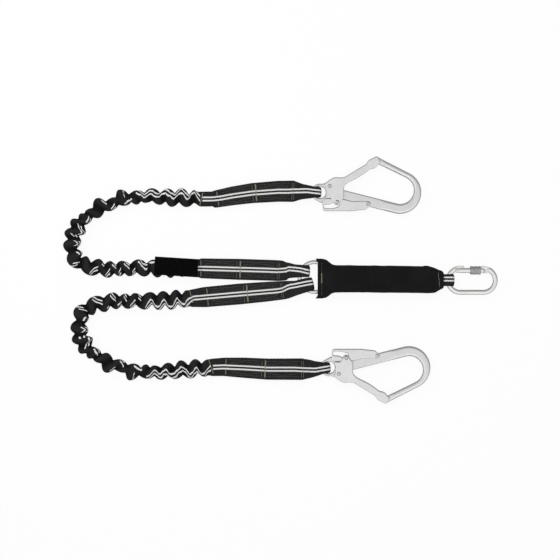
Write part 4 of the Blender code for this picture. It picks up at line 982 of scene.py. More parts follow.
def ribbon(name, plan, facts):
    """The strap as a closed skin with rounded selvedges."""
    route = strap_route(plan, facts)
    ahead = headings(route)
    outward = np.column_stack([-ahead[:, 1], ahead[:, 0]])
    on_plan = np.clip(route[:, 0], 0, plan.length)
    past_end = (route[:, 0] - on_plan)[:, None]
    x, y, half, heading = plan.at(on_plan)
    cos, sin = np.cos(heading)[:, None], np.sin(heading)[:, None]
    face, edge = np.ones(ACROSS), np.ones(3)
    side = np.linspace(-1, 1, ACROSS)
    lateral = np.concatenate([side, edge, side[::-1], -edge])
    swell = np.concatenate([face, SELVEDGE, -face, -SELVEDGE])
    stand = np.concatenate([0 * face, STANDS_OUT, 0 * face, STANDS_OUT])
    lie = half[:, None] * lateral[None, :] + (stand * np.sign(lateral))[None, :]
    narrow = smoothstep((FULL_HALF - 1.5 - half) / 7.0)[:, None]
    away = np.abs(lateral)[None, :] ** 4
    upper_side = (swell[None, :] + 1) / 2
    thick = WEB / 2 * swell[None, :] * (1 - 0.18 * away)
    thick = thick - narrow * 1.1 * away * upper_side + narrow * 0.5 * (1 - away) * upper_side
    rows = np.empty((len(route), len(lateral), 3))
    out_along = outward[:, :1] * thick
    rows[:, :, 0] = x[:, None] + cos * past_end
    rows[:, :, 0] += cos * out_along - sin * lie
    rows[:, :, 1] = y[:, None] + sin * out_along + cos * lie
    rows[:, :, 2] = LEVEL + route[:, 1:] + outward[:, 1:] * thick
    weave = np.empty((len(route), len(lateral) + 1, 2))
    weave[:, :, 0] = run_length(route)[:, None]
    drift = np.interp(x, *zip(*plan.lines))[:, None] * np.where(route[:, 1] > 0, 1, 0)[:, None]
    weave[:, :-1, 1] = lie - drift
    weave[:, -1, 1] = weave[:, 0, 1]
    return skin(name, rows * MM, weave, STRAP_WEBBING)


for name, facts in STRAPS.items():
    strap = ribbon(name + "_webbing", plans[name], facts)
    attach(strap, facts["body"])
    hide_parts(name)
    print(strap.name, "faces", len(strap.data.polygons))

# %% [markdown]
# Every stitch is a little rounded thread sunk into the cloth. It is six-sided, thin and deep at
# its ends and full in the middle. Many stitches are one mesh, on the upper face and the lower.

# %% Threads
THREAD_SHAPE = (  # share of the length, share of the radius, and how deep it is sunk
    (0.0, 0.35, 0.9), (0.15, 0.9, 0.2), (0.5, 1.0, 0.0), (0.85, 0.9, 0.2), (1.0, 0.35, 0.9),
)  # fmt: skip
THREAD_SIDES = 6


def thread_points(start, end, radius, lift):
    """A thread's rings from one point to another, its ends dipping into the cloth."""
    start, end = np.array(start), np.array(end)
    ahead = (end - start) / np.linalg.norm(end - start)
    up = np.array([0.0, 0.0, lift])
    side = np.cross(ahead, up)
    side /= np.linalg.norm(side)
    rings = []
    for t, size, sink in THREAD_SHAPE:
        middle = start + (end - start) * t - up * radius * sink
        for k in range(THREAD_SIDES):
            turn = 2 * math.pi / THREAD_SIDES * k
            rings.append(middle + radius * size * (math.cos(turn) * side + math.sin(turn) * up))
    return rings


def sew(name, body, stitches, radius, material):
    """One mesh of many stitches, each (start, end, 1 on the upper face or -1 on the lower)."""
    corners, faces = [], []
    last = len(THREAD_SHAPE) - 1
    for start, end, lift in stitches:
        base = len(corners)
        corners += thread_points(start, end, radius, lift)
        for ring in range(last):
            for k in range(THREAD_SIDES):
                near = base + ring * THREAD_SIDES + k
                beside = base + ring * THREAD_SIDES + (k + 1) % THREAD_SIDES
                faces.append((near, beside, beside + THREAD_SIDES, near + THREAD_SIDES))
        faces.append(tuple(base + THREAD_SIDES - 1 - k for k in range(THREAD_SIDES)))
        faces.append(tuple(base + last * THREAD_SIDES + k for k in range(THREAD_SIDES)))
    piece = new_piece(name, (np.array(corners) * MM).tolist(), faces, material)
    piece.data.shade_smooth()
    face_outwards(piece.data)
    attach(piece, body)
    return piece


print("thread sides", THREAD_SIDES)

# %% [markdown]
# The stitching carries the whole load, so it is laid out like the real thing: a box of long rows
# in each half of the strap, beside the white lines, with a bar of cross stitches at both ends
# and a double bar in the middle.

# %% Stitching of the straps
THREAD_HIGH = SEWN + WEB / 2 + 0.12  # from the middle plane to a thread's middle
ROW_PITCH = 3.4
INNER_ROW = 6.6  # how far from the strap's middle the long rows run
OUTER_ROW = 15.6


def row(plan, start, end, pitch, zigzag=0.0, length=0.62):
    """Stitches from one (distance, across) to another, on both faces of the sewn layers."""
    start, end = np.array(start, float), np.array(end, float)
    count = max(int(np.linalg.norm(end - start) / pitch), 1)
    step = (end - start) / count
    aside = np.array([-step[1], step[0]]) / np.linalg.norm(step) * zigzag
    made = []
    for i in range(count):
        near = start + step * i
        far = near + step * (1.0 if zigzag else length)
        if zigzag:
            near = near + aside * (1 if i % 2 else -1)
            far = far - aside * (1 if i % 2 else -1)
        for lift in (1, -1):
            high = LEVEL + lift * THREAD_HIGH
            made.append((plan.spot(*near, high), plan.spot(*far, high), lift))
    return made


def cross_bar(plan, number, mark, reach):
    """The cross stitches at the first, middle or last place of a strap."""
    if number == 1:
        made = row(plan, (mark - 5, -reach), (mark - 5, reach), 2.3)
        return made + row(plan, (mark + 2.2, -reach), (mark + 2.2, reach), 1.35, zigzag=1.9)
    if number == 2:
        made = row(plan, (mark - 1.9, -reach), (mark - 1.9, reach), 1.9)
        return made + row(plan, (mark + 1.9, -reach), (mark + 1.9, reach), 1.9)
    made = []
    for side in (-1, 1):
        made += row(plan, (mark, side * INNER_ROW), (mark, side * reach), 1.5, zigzag=1.2)
    return made


def strap_stitching(strap, bars, body):
    """Cross bars at the given places in X, and the boxes of long rows between them."""
    plan = plans[strap]
    marks = [float(np.interp(x, plan.points[:, 0], plan.along)) for x in bars]
    bars_made, rows_made = [], []
    for number, mark in enumerate(marks):
        reach = min(float(plan.at(mark)[2]) - 3.2, 17.6)
        bars_made += cross_bar(plan, number, mark, reach)
    for near, far in zip(marks, marks[1:]):
        middle = (near + far) / 2
        for side in (-1, 1):
            for across in (INNER_ROW, OUTER_ROW):
                start, end = (near + 6, side * across), (far - 7, side * across)
                rows_made += row(plan, start, end, ROW_PITCH)
            peak = (middle, side * 12.8)
            rows_made += row(plan, (near + 9, side * 9.6), peak, ROW_PITCH)
            rows_made += row(plan, peak, (far - 9, side * 9.6), ROW_PITCH)
    sew(strap + "_bar_stitches", body, bars_made, 0.5, BAR_THREAD)
    sew(strap + "_row_stitches", body, rows_made, 0.36, GREY_THREAD)
    print(strap, "stitches", len(bars_made) + len(rows_made))


strap_stitching("leg_upper_hook_strap", (-335.3, -258, -179), "leg_upper")
strap_stitching("leg_lower_hook_strap", (-318.4, -238.8, -159.3), "leg_lower")
strap_stitching("leg_upper_ring_strap", (-370.4, -290.8, -209), "leg_upper")
strap_stitching("leg_lower_ring_strap", (-356.5, -276, -201.8), "leg_lower")

# %% [markdown]
# Three of the tubes' ends show, and each is closed by a short seam of khaki thread that runs
# slantwise over the top and again below.

# %% Seams at the ends of the tubes
SEAM_STITCHES = 11
SEAM_HIGH = 3.75


def end_stitch(name, body, start, end):
    """The seam that closes a tube's end, over the top and below."""
    start, end = np.array(start, float), np.array(end, float)
    made = []
    for i in range(SEAM_STITCHES):
        near = start + (end - start) * i / SEAM_STITCHES
        far = start + (end - start) * (i + 0.8) / SEAM_STITCHES
        for lift in (1, -1):
            high = LEVEL + lift * SEAM_HIGH
            made.append(((*near, high), (*far, high), lift))
    return sew(name, body, made, 0.75, KHAKI_THREAD)


end_stitch("upper_hook_end_seam", "leg_upper", (-366, 179), (-372.5, 152.5))
end_stitch("lower_hook_end_seam", "leg_lower", (-353.4, -169.5), (-344.5, -197))
end_stitch("lower_ring_end_seam", "leg_lower", (-393, -26), (-386.4, -50))
print("seams of", SEAM_STITCHES, "stitches each")

# %% [markdown]
# The absorber's cover is a tube of dense black cloth, flared and hemmed where the ring goes in
# and gathered to a neck round the strap at the other end. The folded tear webbing inside keeps
# it plump, and the cloth shows shallow creases between the layers' ends.

# %% Section of the absorber cover
# Each station: place along, middle in Y, half width, lowest, highest, corner radius, and how far
# the mouth is hollowed in the middle, all in mm
COVER_STATIONS = [
    (-131.8, 0.8, 41.6, 1.6, 21.0, 7.0, 14.0),
    (-118, 0.8, 41.4, 1.4, 22.0, 7.0, 8.0),
    (-110, 0.6, 39.6, 1.0, 23.4, 7.0, 3.0),
    (-104, 0.4, 35.4, 0.6, 25.2, 7.5, 0.0),
    (-98, 0.3, 30.4, 0.2, 27.0, 8.0, 0.0),
    (-91, 0.3, 28.4, 0.0, 29.2, 8.0, 0.0),
    (-40, 0.1, 28.1, 0.0, 30.0, 8.0, 0.0),
    (40, -0.8, 28.1, 0.0, 30.0, 8.0, 0.0),
    (90, -1.5, 27.9, 0.0, 29.8, 8.0, 0.0),
    (94, -1.0, 28.5, 0.0, 29.8, 8.0, 0.0),
    (101, -1.1, 28.6, 0.0, 29.4, 8.0, 0.0),
    (108, -2.0, 27.6, 0.3, 27.8, 8.0, 0.0),
    (116, -3.0, 25.8, 0.9, 25.6, 8.0, 0.0),
    (121, -2.6, 23.0, 1.4, 24.4, 8.0, 0.0),
    (128, -2.0, 19.8, 2.6, 21.6, 6.5, 0.0),
    (132, -2.0, 18.4, 3.4, 20.0, 5.5, 0.0),
    (134.2, -2.7, 15.4, 3.8, 19.0, 5.0, 0.0),
]
COVER_WALL = 1.6
CORNERS = ((1, 1), (-1, 1), (-1, -1), (1, -1))  # side in Y and side in Z, in order round


def cover_ring(x, inset):
    """The cover's section at a place along it, 96 points round, inset from its outer face."""
    marks = [station[0] for station in COVER_STATIONS]
    middle, half, low, high, corner, hollow = (
        float(np.interp(x, marks, [station[i] for station in COVER_STATIONS])) for i in range(1, 7)
    )

    def on_corner(number, degrees):
        side_y, side_z = CORNERS[number % 4]
        centre_y = middle + side_y * (half - corner)
        centre_z = high - corner if side_z > 0 else low + corner
        reach, a = corner - inset, math.radians(degrees)
        return centre_y + reach * math.cos(a), centre_z + reach * math.sin(a)

    ring = []
    for number in range(4):
        start = 90 * number
        ring += [on_corner(number, degrees) for degrees in np.linspace(start, start + 90, 9)]
        (y, z), (end_y, end_z) = ring[-1], on_corner(number + 1, start + 90)
        ring += [(y + (end_y - y) * t, z + (end_z - z) * t) for t in np.linspace(0, 1, 17)[1:-1]]
    edge = [max(abs(y - middle), half - corner) for y, _ in ring]
    return np.array([(x + hollow * (1 - (e / half) ** 2), y, z) for e, (y, z) in zip(edge, ring)])


print("cover section points", len(cover_ring(0, 0)))

# %% [markdown]
# The outer face runs from the mouth to the neck and the inner face back again, so the cloth has
# a thickness at the mouth. Creases and unevenness fade out towards both ends.

# %% Absorber cover
MOUTH, NECK = COVER_STATIONS[0][0], COVER_STATIONS[-1][0]


def cover_skin(name):
    """Outer face from mouth to neck, and the inner face back again."""
    out = np.concatenate([[MOUTH], np.arange(-129, 133.6, 2.2), [NECK]])
    outer = np.array([cover_ring(x, 0.0) for x in out])
    inner = np.array([cover_ring(x, COVER_WALL) for x in out[::-1]])
    x, y, z = outer[:, :, 0], outer[:, :, 1], outer[:, :, 2]
    quiet = smoothstep((x + 118) / 20) * smoothstep((132 - x) / 18)
    upper_face = smoothstep((z - 20) / 8) * quiet
    beside_middle = np.exp(-(((np.abs(y) - 22) / 9) ** 2))
    crease = 0.55 * np.sin(x / 11.0 + 1.3 * np.sin(y / 13.0)) * beside_middle
    ends = -0.9 * np.exp(-(((x - 96) / 3.0) ** 2)) - 0.7 * np.exp(-(((x + 84) / 3.5) ** 2))
    outer[:, :, 2] += (crease + ends - 0.4) * upper_face
    outer[:, :, 2] += ripple(outer, 0.045, 0.7, 21.0) * upper_face
    outer[:, :, 1] += ripple(outer, 0.06, 0.45, 5.0) * quiet
    rows = np.concatenate([outer, inner, outer[:1]])
    count, width = rows.shape[:2]
    travel = np.concatenate([out, 2 * out[-1] - out[::-1], [2 * out[-1] - 2 * out[0]]])
    around = run_length(outer[60])
    around = np.concatenate([around, [around[-1] + 1.5]])
    weave = np.empty((count, width + 1, 2))
    weave[:, :, 0] = travel[:, None]
    weave[:, :, 1] = around[None, :]
    piece = skin(name, rows * MM, weave, COVER_CLOTH, caps=False)
    face_outwards(piece.data, join=True)
    return piece


cover = cover_skin("absorber_cover_cloth")
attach(cover, "absorber")
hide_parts("absorber_cover")
print("cover faces", len(cover.data.polygons))

# %% [markdown]
# The hem at the mouth is a row of dark stitches with a khaki tack in its middle, and one slanted
# row closes the neck. Each stitch lies on the upper face, so that face is looked up first.

# %% Stitches on the cover
HEM_AT = -122.5
NECK_AT = 123.4
NECK_SLANT = 0.11  # how far the neck's row leans for each mm across
TACK_SIDE = 1.4


def cover_top(x, y):
    """A point on the cover's upper face, in mm."""
    ring = cover_ring(x, 0.0)
    up = ring[ring[:, 2] > ring[:, 2].mean()]
    up = up[np.argsort(up[:, 1])]
    return np.array([np.interp(y, up[:, 1], up[:, 0]), y, np.interp(y, up[:, 1], up[:, 2]) + 0.1])


hem = [(cover_top(HEM_AT, y), cover_top(HEM_AT, y + 1.7), 1) for y in np.arange(-34, 34.5, 2.6)]
sew("cover_hem_stitches", "absorber", hem, 0.38, GREY_THREAD)
tack = []
for i in range(15):
    y = -9 + i * 1.4
    side = TACK_SIDE if i % 2 else -TACK_SIDE
    tack.append((cover_top(HEM_AT - side, y), cover_top(HEM_AT + side, y + 1.4), 1))
sew("cover_hem_tack", "absorber", tack, 0.42, KHAKI_THREAD)
neck = []
for y in np.arange(-17, 13, 1.9):
    lean = NECK_SLANT * y
    neck.append((cover_top(NECK_AT - lean, y), cover_top(NECK_AT - 0.1 - lean, y + 1.5), 1))
sew("cover_neck_stitches", "absorber", neck, 0.45, PALE_THREAD)
print("cover stitches", len(hem) + len(tack) + len(neck))

# %% [markdown]
# The metal is of three kinds. Hooks are satin anodised light alloy, a little grainy from
# tumbling. Ring and carabiner are zinc-plated steel with fine scratches, the ring's a little
# darker. The screw sleeve is dull grey. Metal takes its shade from the room, so its own finish
# only needs a tone, an uneven roughness and a slight grain.


# %% Metal finishes
def metal_finish(name, tone, roughness, metallic, grain, scratch):
    """Metal with a cloudy tone, uneven roughness, fine scratches and a slight grain."""
    w = Wiring(name, roughness=roughness, metallic=metallic)
    cloud = w.ramp(w.noise(38.0, 3.0), 0.3, 0.7)
    stretch = w.add("Mapping")
    stretch.inputs["Scale"].default_value = (60.0, 1400.0, 60.0)
    w.plug(w.place(), stretch.inputs["Vector"])
    brushed = w.noise(1.0, 2.0, stretch.outputs[0])
    dull = tuple(c * 0.86 for c in tone)
    w.colour(w.mixed(w.math("MULTIPLY", cloud, w.ramp(brushed, 0.2, 0.8)), tone, dull))
    uneven = w.math("MULTIPLY", w.ramp(w.noise(160.0, 4.0), 0.3, 0.75), 0.14)
    marks = w.math("MULTIPLY", w.ramp(brushed, 0.62, 0.72), scratch)
    w.rough(w.math("ADD", w.math("ADD", uneven, marks), roughness - 0.05))
    w.bump(w.noise(grain, 3.0), 0.00006, 0.3)
    return w.material


ALLOY = metal_finish("satin_alloy_finish", (0.70, 0.70, 0.705), 0.34, 0.92, 2600.0, 0.05)
GATE_ALLOY = metal_finish("gate_alloy_finish", (0.73, 0.73, 0.735), 0.36, 0.9, 3000.0, 0.05)
BRIGHT_STEEL = metal_finish("bright_zinc_finish", (0.80, 0.80, 0.79), 0.42, 1.0, 1500.0, 0.1)
RING_STEEL = metal_finish("ring_zinc_finish", (0.68, 0.68, 0.675), 0.30, 1.0, 1500.0, 0.1)
PIN_STEEL = metal_finish("pin_steel_finish", (0.60, 0.60, 0.60), 0.26, 1.0, 1800.0, 0.1)
SPRING_WIRE = metal_finish("spring_wire_finish", (0.42, 0.42, 0.43), 0.3, 1.0, 1500.0, 0.1)
SLEEVE_GREY = metal_finish("sleeve_grey_finish", (0.40, 0.40, 0.405), 0.42, 0.8, 1800.0, 0.05)
print("metals ready")

# %% [markdown]
# Hooks, ring and carabiner are forged or bent bar, so their edges are round and the light runs
# along them. A plate with a rim is built from its outline: the outline is resampled evenly, then
# stepped inwards and upwards, along a quarter circle for a wide rim and a pressed bevel for a
# narrow one. The flat faces close it. Shapes cut out of a plate are plates too.


# %% Outlines
def arc(centre, radius, start, end, count):
    """Points of an arc in mm, from one angle to another in degrees."""
    return [
        (centre[0] + radius * math.cos(a), centre[1] + radius * math.sin(a))
        for a in np.radians(np.linspace(start, end, count))
    ]


def even_loop(points, step, soft, inside_left=True):
    """The outline with even points, its corners softened, and the metal always on its left."""
    loop = np.array(list(points) + [points[0]], float)
    travel = run_length(loop)
    marks = np.linspace(0, travel[-1], max(round(travel[-1] / step), 12), endpoint=False)
    even = np.column_stack([np.interp(marks, travel, loop[:, i]) for i in range(2)])
    if soft:
        reach = max(round(soft / step), 1)
        weight = np.hanning(2 * reach + 3)[1:-1]
        wrapped = np.vstack([even[-reach:], even, even[:reach]])
        even = np.column_stack(
            [np.convolve(wrapped[:, i], weight / weight.sum(), mode="valid") for i in range(2)]
        )
    following = np.roll(even, -1, axis=0)
    area = np.sum(even[:, 0] * following[:, 1] - following[:, 0] * even[:, 1])
    return even if (area > 0) == inside_left else even[::-1]


print("outline helpers ready")

# %% [markdown]
# The rim's radius may change on the way round. The outer outline and the large holes have the
# whole rim, and small bores have only a fine one.

# %% Plates with rims
RIM_ANGLES = np.radians([0, 18, 36, 54, 72, 90])
BEVEL_IN = (0.0, 0.02, 0.12, 0.5, 0.9, 1.0)  # a pressed edge: a slope between two small rounds
BEVEL_DOWN = (1.0, 0.78, 0.64, 0.34, 0.04, 0.0)
ROUND_FROM = 3.0  # rims wider than this, in mm, are round instead
BORE_RIM = 0.3
SMOOTH_UNDER = 38  # degrees between two faces of a rim


def rim_rings(edge, radius, half, angles):
    """The rings of a rim, from the lower flat face round the edge to the upper one."""
    along = np.roll(edge, -1, axis=0) - np.roll(edge, 1, axis=0)
    along /= np.linalg.norm(along, axis=1)[:, None]
    inward = np.column_stack([-along[:, 1], along[:, 0]])
    bevel = ((ROUND_FROM - radius) / 0.8).clip(0, 1)
    rings = []
    for sign, sweep in ((-1, angles[::-1]), (1, angles)):
        for a in sweep:
            bevel_in = np.interp(a, RIM_ANGLES, BEVEL_IN)
            bevel_down = np.interp(a, RIM_ANGLES, BEVEL_DOWN)
            inset = (1 - math.cos(a)) * (1 - bevel) + bevel_in * bevel
            drop = (1 - math.sin(a)) * (1 - bevel) + bevel_down * bevel
            spots = edge + inward * (radius * inset)[:, None]
            rings.append(np.column_stack([spots, sign * (half - radius * drop)]))
    return rings


def plate(name, loops, half, rim, material, step=1.0, soft=1.2, segments=5, rimmed=1):
    """A flat plate in the middle plane, in mm: the outer outline, then its holes.

    The first loops, as many as rimmed says, have the whole rim and the others a fine one."""
    corners, faces, tops = [], [], []
    angles = np.radians(np.linspace(0, 90, segments + 1))
    for number, points in enumerate(loops):
        edge = even_loop(points, step, soft, number == 0)
        radius = rim(edge) if callable(rim) else np.full(len(edge), float(rim))
        if number >= rimmed:
            radius = np.minimum(radius, BORE_RIM)
        rings = rim_rings(edge, radius, half, angles)
        base, count = len(corners), len(edge)
        for ring in rings:
            corners += ring.tolist()
        for r in range(len(rings) - 1):
            for k in range(count):
                near, beside = base + r * count + k, base + r * count + (k + 1) % count
                faces.append((near, beside, beside + count, near + count))
        tops.append((base, base + (len(rings) - 1) * count, rings[-1]))
    flat = tessellate_polygon([[Vector(p) for p in ring] for _, _, ring in tops])
    for first in (0, 1):
        where = [tops[i][first] + k for i in range(len(tops)) for k in range(len(tops[i][2]))]
        faces += [tuple(where[i] for i in corner) for corner in flat]
    placed = np.array(corners) * MM + (0, 0, WEB_LEVEL)
    return settled(new_piece(name, placed.tolist(), faces, material))


def settled(piece):
    """Faces turned outwards, rims smooth, and the flats kept flat."""
    shape = bmesh.new()
    shape.from_mesh(piece.data)
    bmesh.ops.recalc_face_normals(shape, faces=shape.faces)
    limit = math.radians(SMOOTH_UNDER)
    for face in shape.faces:
        face.smooth = True
    for edge in shape.edges:
        flats = [abs(face.normal.z) > 0.9999 for face in edge.link_faces]
        edge.smooth = len(flats) == 2 and flats[0] == flats[1] and edge.calc_face_angle(0) < limit
    shape.to_mesh(piece.data)
    shape.free()
    return piece


def carve(piece, tool, operation="DIFFERENCE"):
    """Cuts a tool out of a piece, or joins it on with UNION; the tool is used up."""
    change = piece.modifiers.new("carve", "BOOLEAN")
    change.operation = operation
    change.solver = "EXACT"
    change.object = tool
    bpy.context.view_layer.update()
    seen_by = bpy.context.evaluated_depsgraph_get()
    mesh = bpy.data.meshes.new_from_object(piece.evaluated_get(seen_by))
    piece.modifiers.clear()
    piece.data = mesh
    bpy.data.objects.remove(tool)
    return settled(piece)


print("plate helpers ready")

# %% [markdown]
# A hook is one forging of light alloy: a flat spine with an eye, and a bow that is rounded nearly
# to a bar. Its gate and its lever are channels pressed from sheet, so they start as plates and
# the inside is taken out. All outlines are in millimetres from the centre of the eye.

# %% Outlines of a hook
UPPER_EYE = (-122.9, 180.0)
LOWER_EYE = (-104.0, -184.2)
EYE_HOLE = 12.3
GATE_PIVOT = (20.0, 12.7)
LATCH_PIN = (35.8, -20.2)
LEVER_PIVOT = (99.8, -24.3)
FRAME_HALF = 5.5
LEVER_HALF = (5.8, 7.8)  # inside and outside of the lever's channel
GATE_HALF = (8.3, 10.1)  # inside and outside of the gate's channel
RIVET_SHANK = 2.4
RIVET_HEAD = 3.1

FRAME_EDGE = (
    [(110, 64.5), (108.4, 67.5), (110.5, 71), (116, 72.4), (122.2, 72.3)]
    + arc((166.2, 0), 44.5, 63, -104.4, 60)
    + [(37.6, -13.2), (26, -13.5), (12.5, -16.0), (6, -21.5), (2.5, -21.8)]
    + arc((0, 0), 18.0, -124, -284, 30)
    + arc(GATE_PIVOT, 10.0, 128, 26, 16)
    + [(34, 9.6), (49.5, 4.7)]
    + arc((166.9, 4.7), 28.6, -104.4, 63, 50)
)  # fmt: skip
GATE_EDGE = (
    [(9.6, 17.1), (14.5, 22), (21, 26.8), (27, 30.2), (32.4, 31.4), (41.8, 30.6), (50.3, 31.2)]
    + [(96.3, 59.1), (98, 63.2), (102.5, 67.6), (115.4, 74), (119.2, 74.3), (121, 73)]
    + [(125.6, 64.1), (125.2, 62), (122.7, 59.1), (116.1, 51.8), (110.2, 49.5), (105, 48.6)]
    + [(98.6, 43.7), (82.6, 32.7), (60.5, 21.8), (54.6, 17.6), (50.8, 12.6), (49.6, 8)]
    + [(49.5, -11.5)]
    + arc(LATCH_PIN, 6.4, -5, -145, 16)
    + [(23.3, -12.5), (10.9, -12.5), (12.9, -4), (13.7, 5), (12.2, 12)]
)  # fmt: skip
LEVER_EDGE = (
    arc(LEVER_PIVOT, 6.0, 96, -58, 18)
    + [(95.9, -35.4), (66.8, -38.7), (10, -38.7), (6.4, -36), (5.2, -18.6)]
    + [(7, -14.2), (12, -12.3), (40, -12.3), (49.5, -14.6), (66.8, -18.7), (88, -18.3)]
)  # fmt: skip
LEVER_WINDOW = (
    arc(GATE_PIVOT, 46.0, -105, -64, 20)
    + arc(LATCH_PIN, RIVET_SHANK + 1.0, -10, 128, 16)
    + [(28.8, -20.7), (24, -23.2), (19.5, -25), (12, -25), (9.4, -25.8), (8.2, -28)]
)  # fmt: skip
LEVER_TROUGH = [(0, -36.7), (66.8, -36.7), (96, -33.4), (112, -28), (112, 0), (0, 0)]
GATE_WEB = [(58.5, 27.7), (119.0, 55.5), (119.0, 57.5), (58.5, 29.7)]
ALL_ROUND = [(-20, -60), (150, -60), (150, 90), (-20, 90)]
print("outline points", len(FRAME_EDGE), len(GATE_EDGE), len(LEVER_EDGE), len(LEVER_WINDOW))

# %% [markdown]
# Rivets and pins are turned on a lathe: a profile of radius and height goes round an axis. Each
# has a domed head with a dimple at both ends.

# %% Rivets
RIVET_DOME = (  # share of the head's radius, and height
    (0.0, 0.45), (0.32, 0.42), (0.5, 0.62), (0.72, 0.6), (0.9, 0.36), (1.0, 0.0), (1.0, -0.7),
)  # fmt: skip
DOME_TOP = 0.62  # the highest place of that profile
DOME_RISE = 0.9  # how far a head rises above its rim, in mm
HEAD_DEEP = 1.6  # and how far below a pin's end its head meets the shank
AXIS_GAP = 0.02  # least radius of a profile, so that no ring shrinks to a point
BAR_SIDES = 28  # steps round a rivet or a bar


def lathe(name, profile, place, body, node, material):
    """A profile of radius and height in mm, turned about Z at a place in the middle plane."""
    rows = np.empty((len(profile), BAR_SIDES, 3))
    turns = np.linspace(0, 2 * math.pi, BAR_SIDES, endpoint=False)
    for i, (radius, height) in enumerate(profile):
        rows[i, :, 0] = place[0] + max(radius, AXIS_GAP) * np.cos(turns)
        rows[i, :, 1] = place[1] + max(radius, AXIS_GAP) * np.sin(turns)
        rows[i, :, 2] = LEVEL + height
    weave = np.zeros((len(profile), BAR_SIDES + 1, 2))
    piece = skin(name, rows * MM, weave, material)
    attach(piece, body)
    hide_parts(node)
    return piece


def rivet(name, place, half, radius, shank, body, node, material):
    """A pin's two domed heads with a dimple, and the shank between them."""
    rim = half - DOME_RISE
    profile = [(r * radius, rim + DOME_RISE * h / DOME_TOP) for r, h in RIVET_DOME]
    profile += [(shank, half - HEAD_DEEP)]
    profile += [(r, -h) for r, h in reversed(profile)]
    return lathe(name, profile, place, body, node, material)


print("rivet profile ready")

# %% [markdown]
# The lower hook is the upper one mirrored, so one function builds both. The lock is that of the
# real hook in outline: a lug in the lever's window stands in the way of the gate's latch pin.
# Here the pin has some play before it meets the lug, and the lever rises as the gate opens.

# %% Hooks
SPINE_RIM = 2.2
BOW_RIM_MORE = 2.9  # how much wider the rim is on the bow, nearly a half round
RIM_FROM = 116  # where it begins to widen, and over what length
RIM_OVER = 24
BORE_GAP = 0.3
SINK_GAP = 0.8
TOOL_RIM = 0.05
FRAME_SLOTS = (  # pivot, reach, first and last angle, radius of the well, half thickness
    (GATE_PIVOT, 47.0, 48, -27, 6.0, 2.9),
    (LEVER_PIVOT, 16.0, 188, 270, 5.3, 2.6),
)
HOOK_PINS = (  # name, place, half length, and the body that holds it
    ("gate_rivet", "gate", 11.4, ""),
    ("latch_pin", "latch", 11.4, "_gate_body"),
    ("lever_rivet", "lever", 9.1, ""),
)


def circle(centre, radius):
    """A bore's outline."""
    return arc(centre, radius, 0, 345, 24)


def build_hook(hook_name, eye, side):
    """One hook at its eye; side is 1 for the upper one and -1 for the lower."""

    def at_hook(points):
        return [(eye[0] + x, eye[1] + side * y) for x, y in points]

    def frame_rim(edge):
        return SPINE_RIM + BOW_RIM_MORE * smoothstep((edge[:, 0] - eye[0] - RIM_FROM) / RIM_OVER)

    spots = {"gate": GATE_PIVOT, "latch": LATCH_PIN, "lever": LEVER_PIVOT}
    holes = {name: at_hook([spot])[0] for name, spot in spots.items()}
    bores = {name: circle(spot, RIVET_SHANK + BORE_GAP) for name, spot in holes.items()}
    sinks = {name: circle(spot, RIVET_HEAD + SINK_GAP) for name, spot in holes.items()}
    body = plate(
        hook_name + "_forged_frame",
        [at_hook(FRAME_EDGE), arc(eye, EYE_HOLE, 0, 354, 60), bores["gate"], bores["lever"]],
        FRAME_HALF, frame_rim, ALLOY, rimmed=2,
    )  # fmt: skip
    for pivot, reach, start, end, well_radius, half in FRAME_SLOTS:
        fan = at_hook([pivot] + arc(pivot, reach, start, end, 8))
        carve(body, plate("slot", [fan], half, TOOL_RIM, ALLOY, soft=0, segments=1))
        well = circle(at_hook([pivot])[0], well_radius)
        carve(body, plate("well", [well], half + 0.02, TOOL_RIM, ALLOY, soft=0, segments=1))
    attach(body, hook_name)
    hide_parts(hook_name + "_frame")
    gate = plate(
        hook_name + "_gate_channel", [at_hook(GATE_EDGE), sinks["gate"], sinks["latch"]],
        GATE_HALF[1], 2.1, GATE_ALLOY,
    )  # fmt: skip
    around_web = [at_hook(ALL_ROUND), at_hook(GATE_WEB)]
    carve(gate, plate("inside", around_web, GATE_HALF[0], TOOL_RIM, ALLOY, 2.0, 0, 1))
    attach(gate, hook_name + "_gate_body")
    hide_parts(hook_name + "_gate")
    lever = plate(
        hook_name + "_squeeze_lever", [at_hook(LEVER_EDGE), at_hook(LEVER_WINDOW), sinks["lever"]],
        LEVER_HALF[1], 1.8, GATE_ALLOY, rimmed=2,
    )  # fmt: skip
    trough = [at_hook(LEVER_TROUGH)]
    carve(lever, plate("trough", trough, LEVER_HALF[0], TOOL_RIM, ALLOY, 2.0, 0, 1))
    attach(lever, hook_name + "_lever_body")
    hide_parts(hook_name + "_lock_lever")
    for piece in (body, gate, lever):
        print(piece.name, "faces", len(piece.data.polygons))
    for kind, spot, half, holder in HOOK_PINS:
        head = rivet(
            f"{hook_name}_{kind}_domed", holes[spot], half, RIVET_HEAD, RIVET_SHANK,
            hook_name + holder, f"{hook_name}_{kind}", PIN_STEEL,
        )  # fmt: skip


build_hook("hook_upper", UPPER_EYE, 1)
build_hook("hook_lower", LOWER_EYE, -1)

# %% [markdown]
# Ring and carabiner are round bar, bent to shape and plated. The ring is closed, so its first
# and last rows are joined.

# %% Round bar and the ring
RING_CENTRE = (-134.2, 4.1)
RING_RADIUS = 31.0


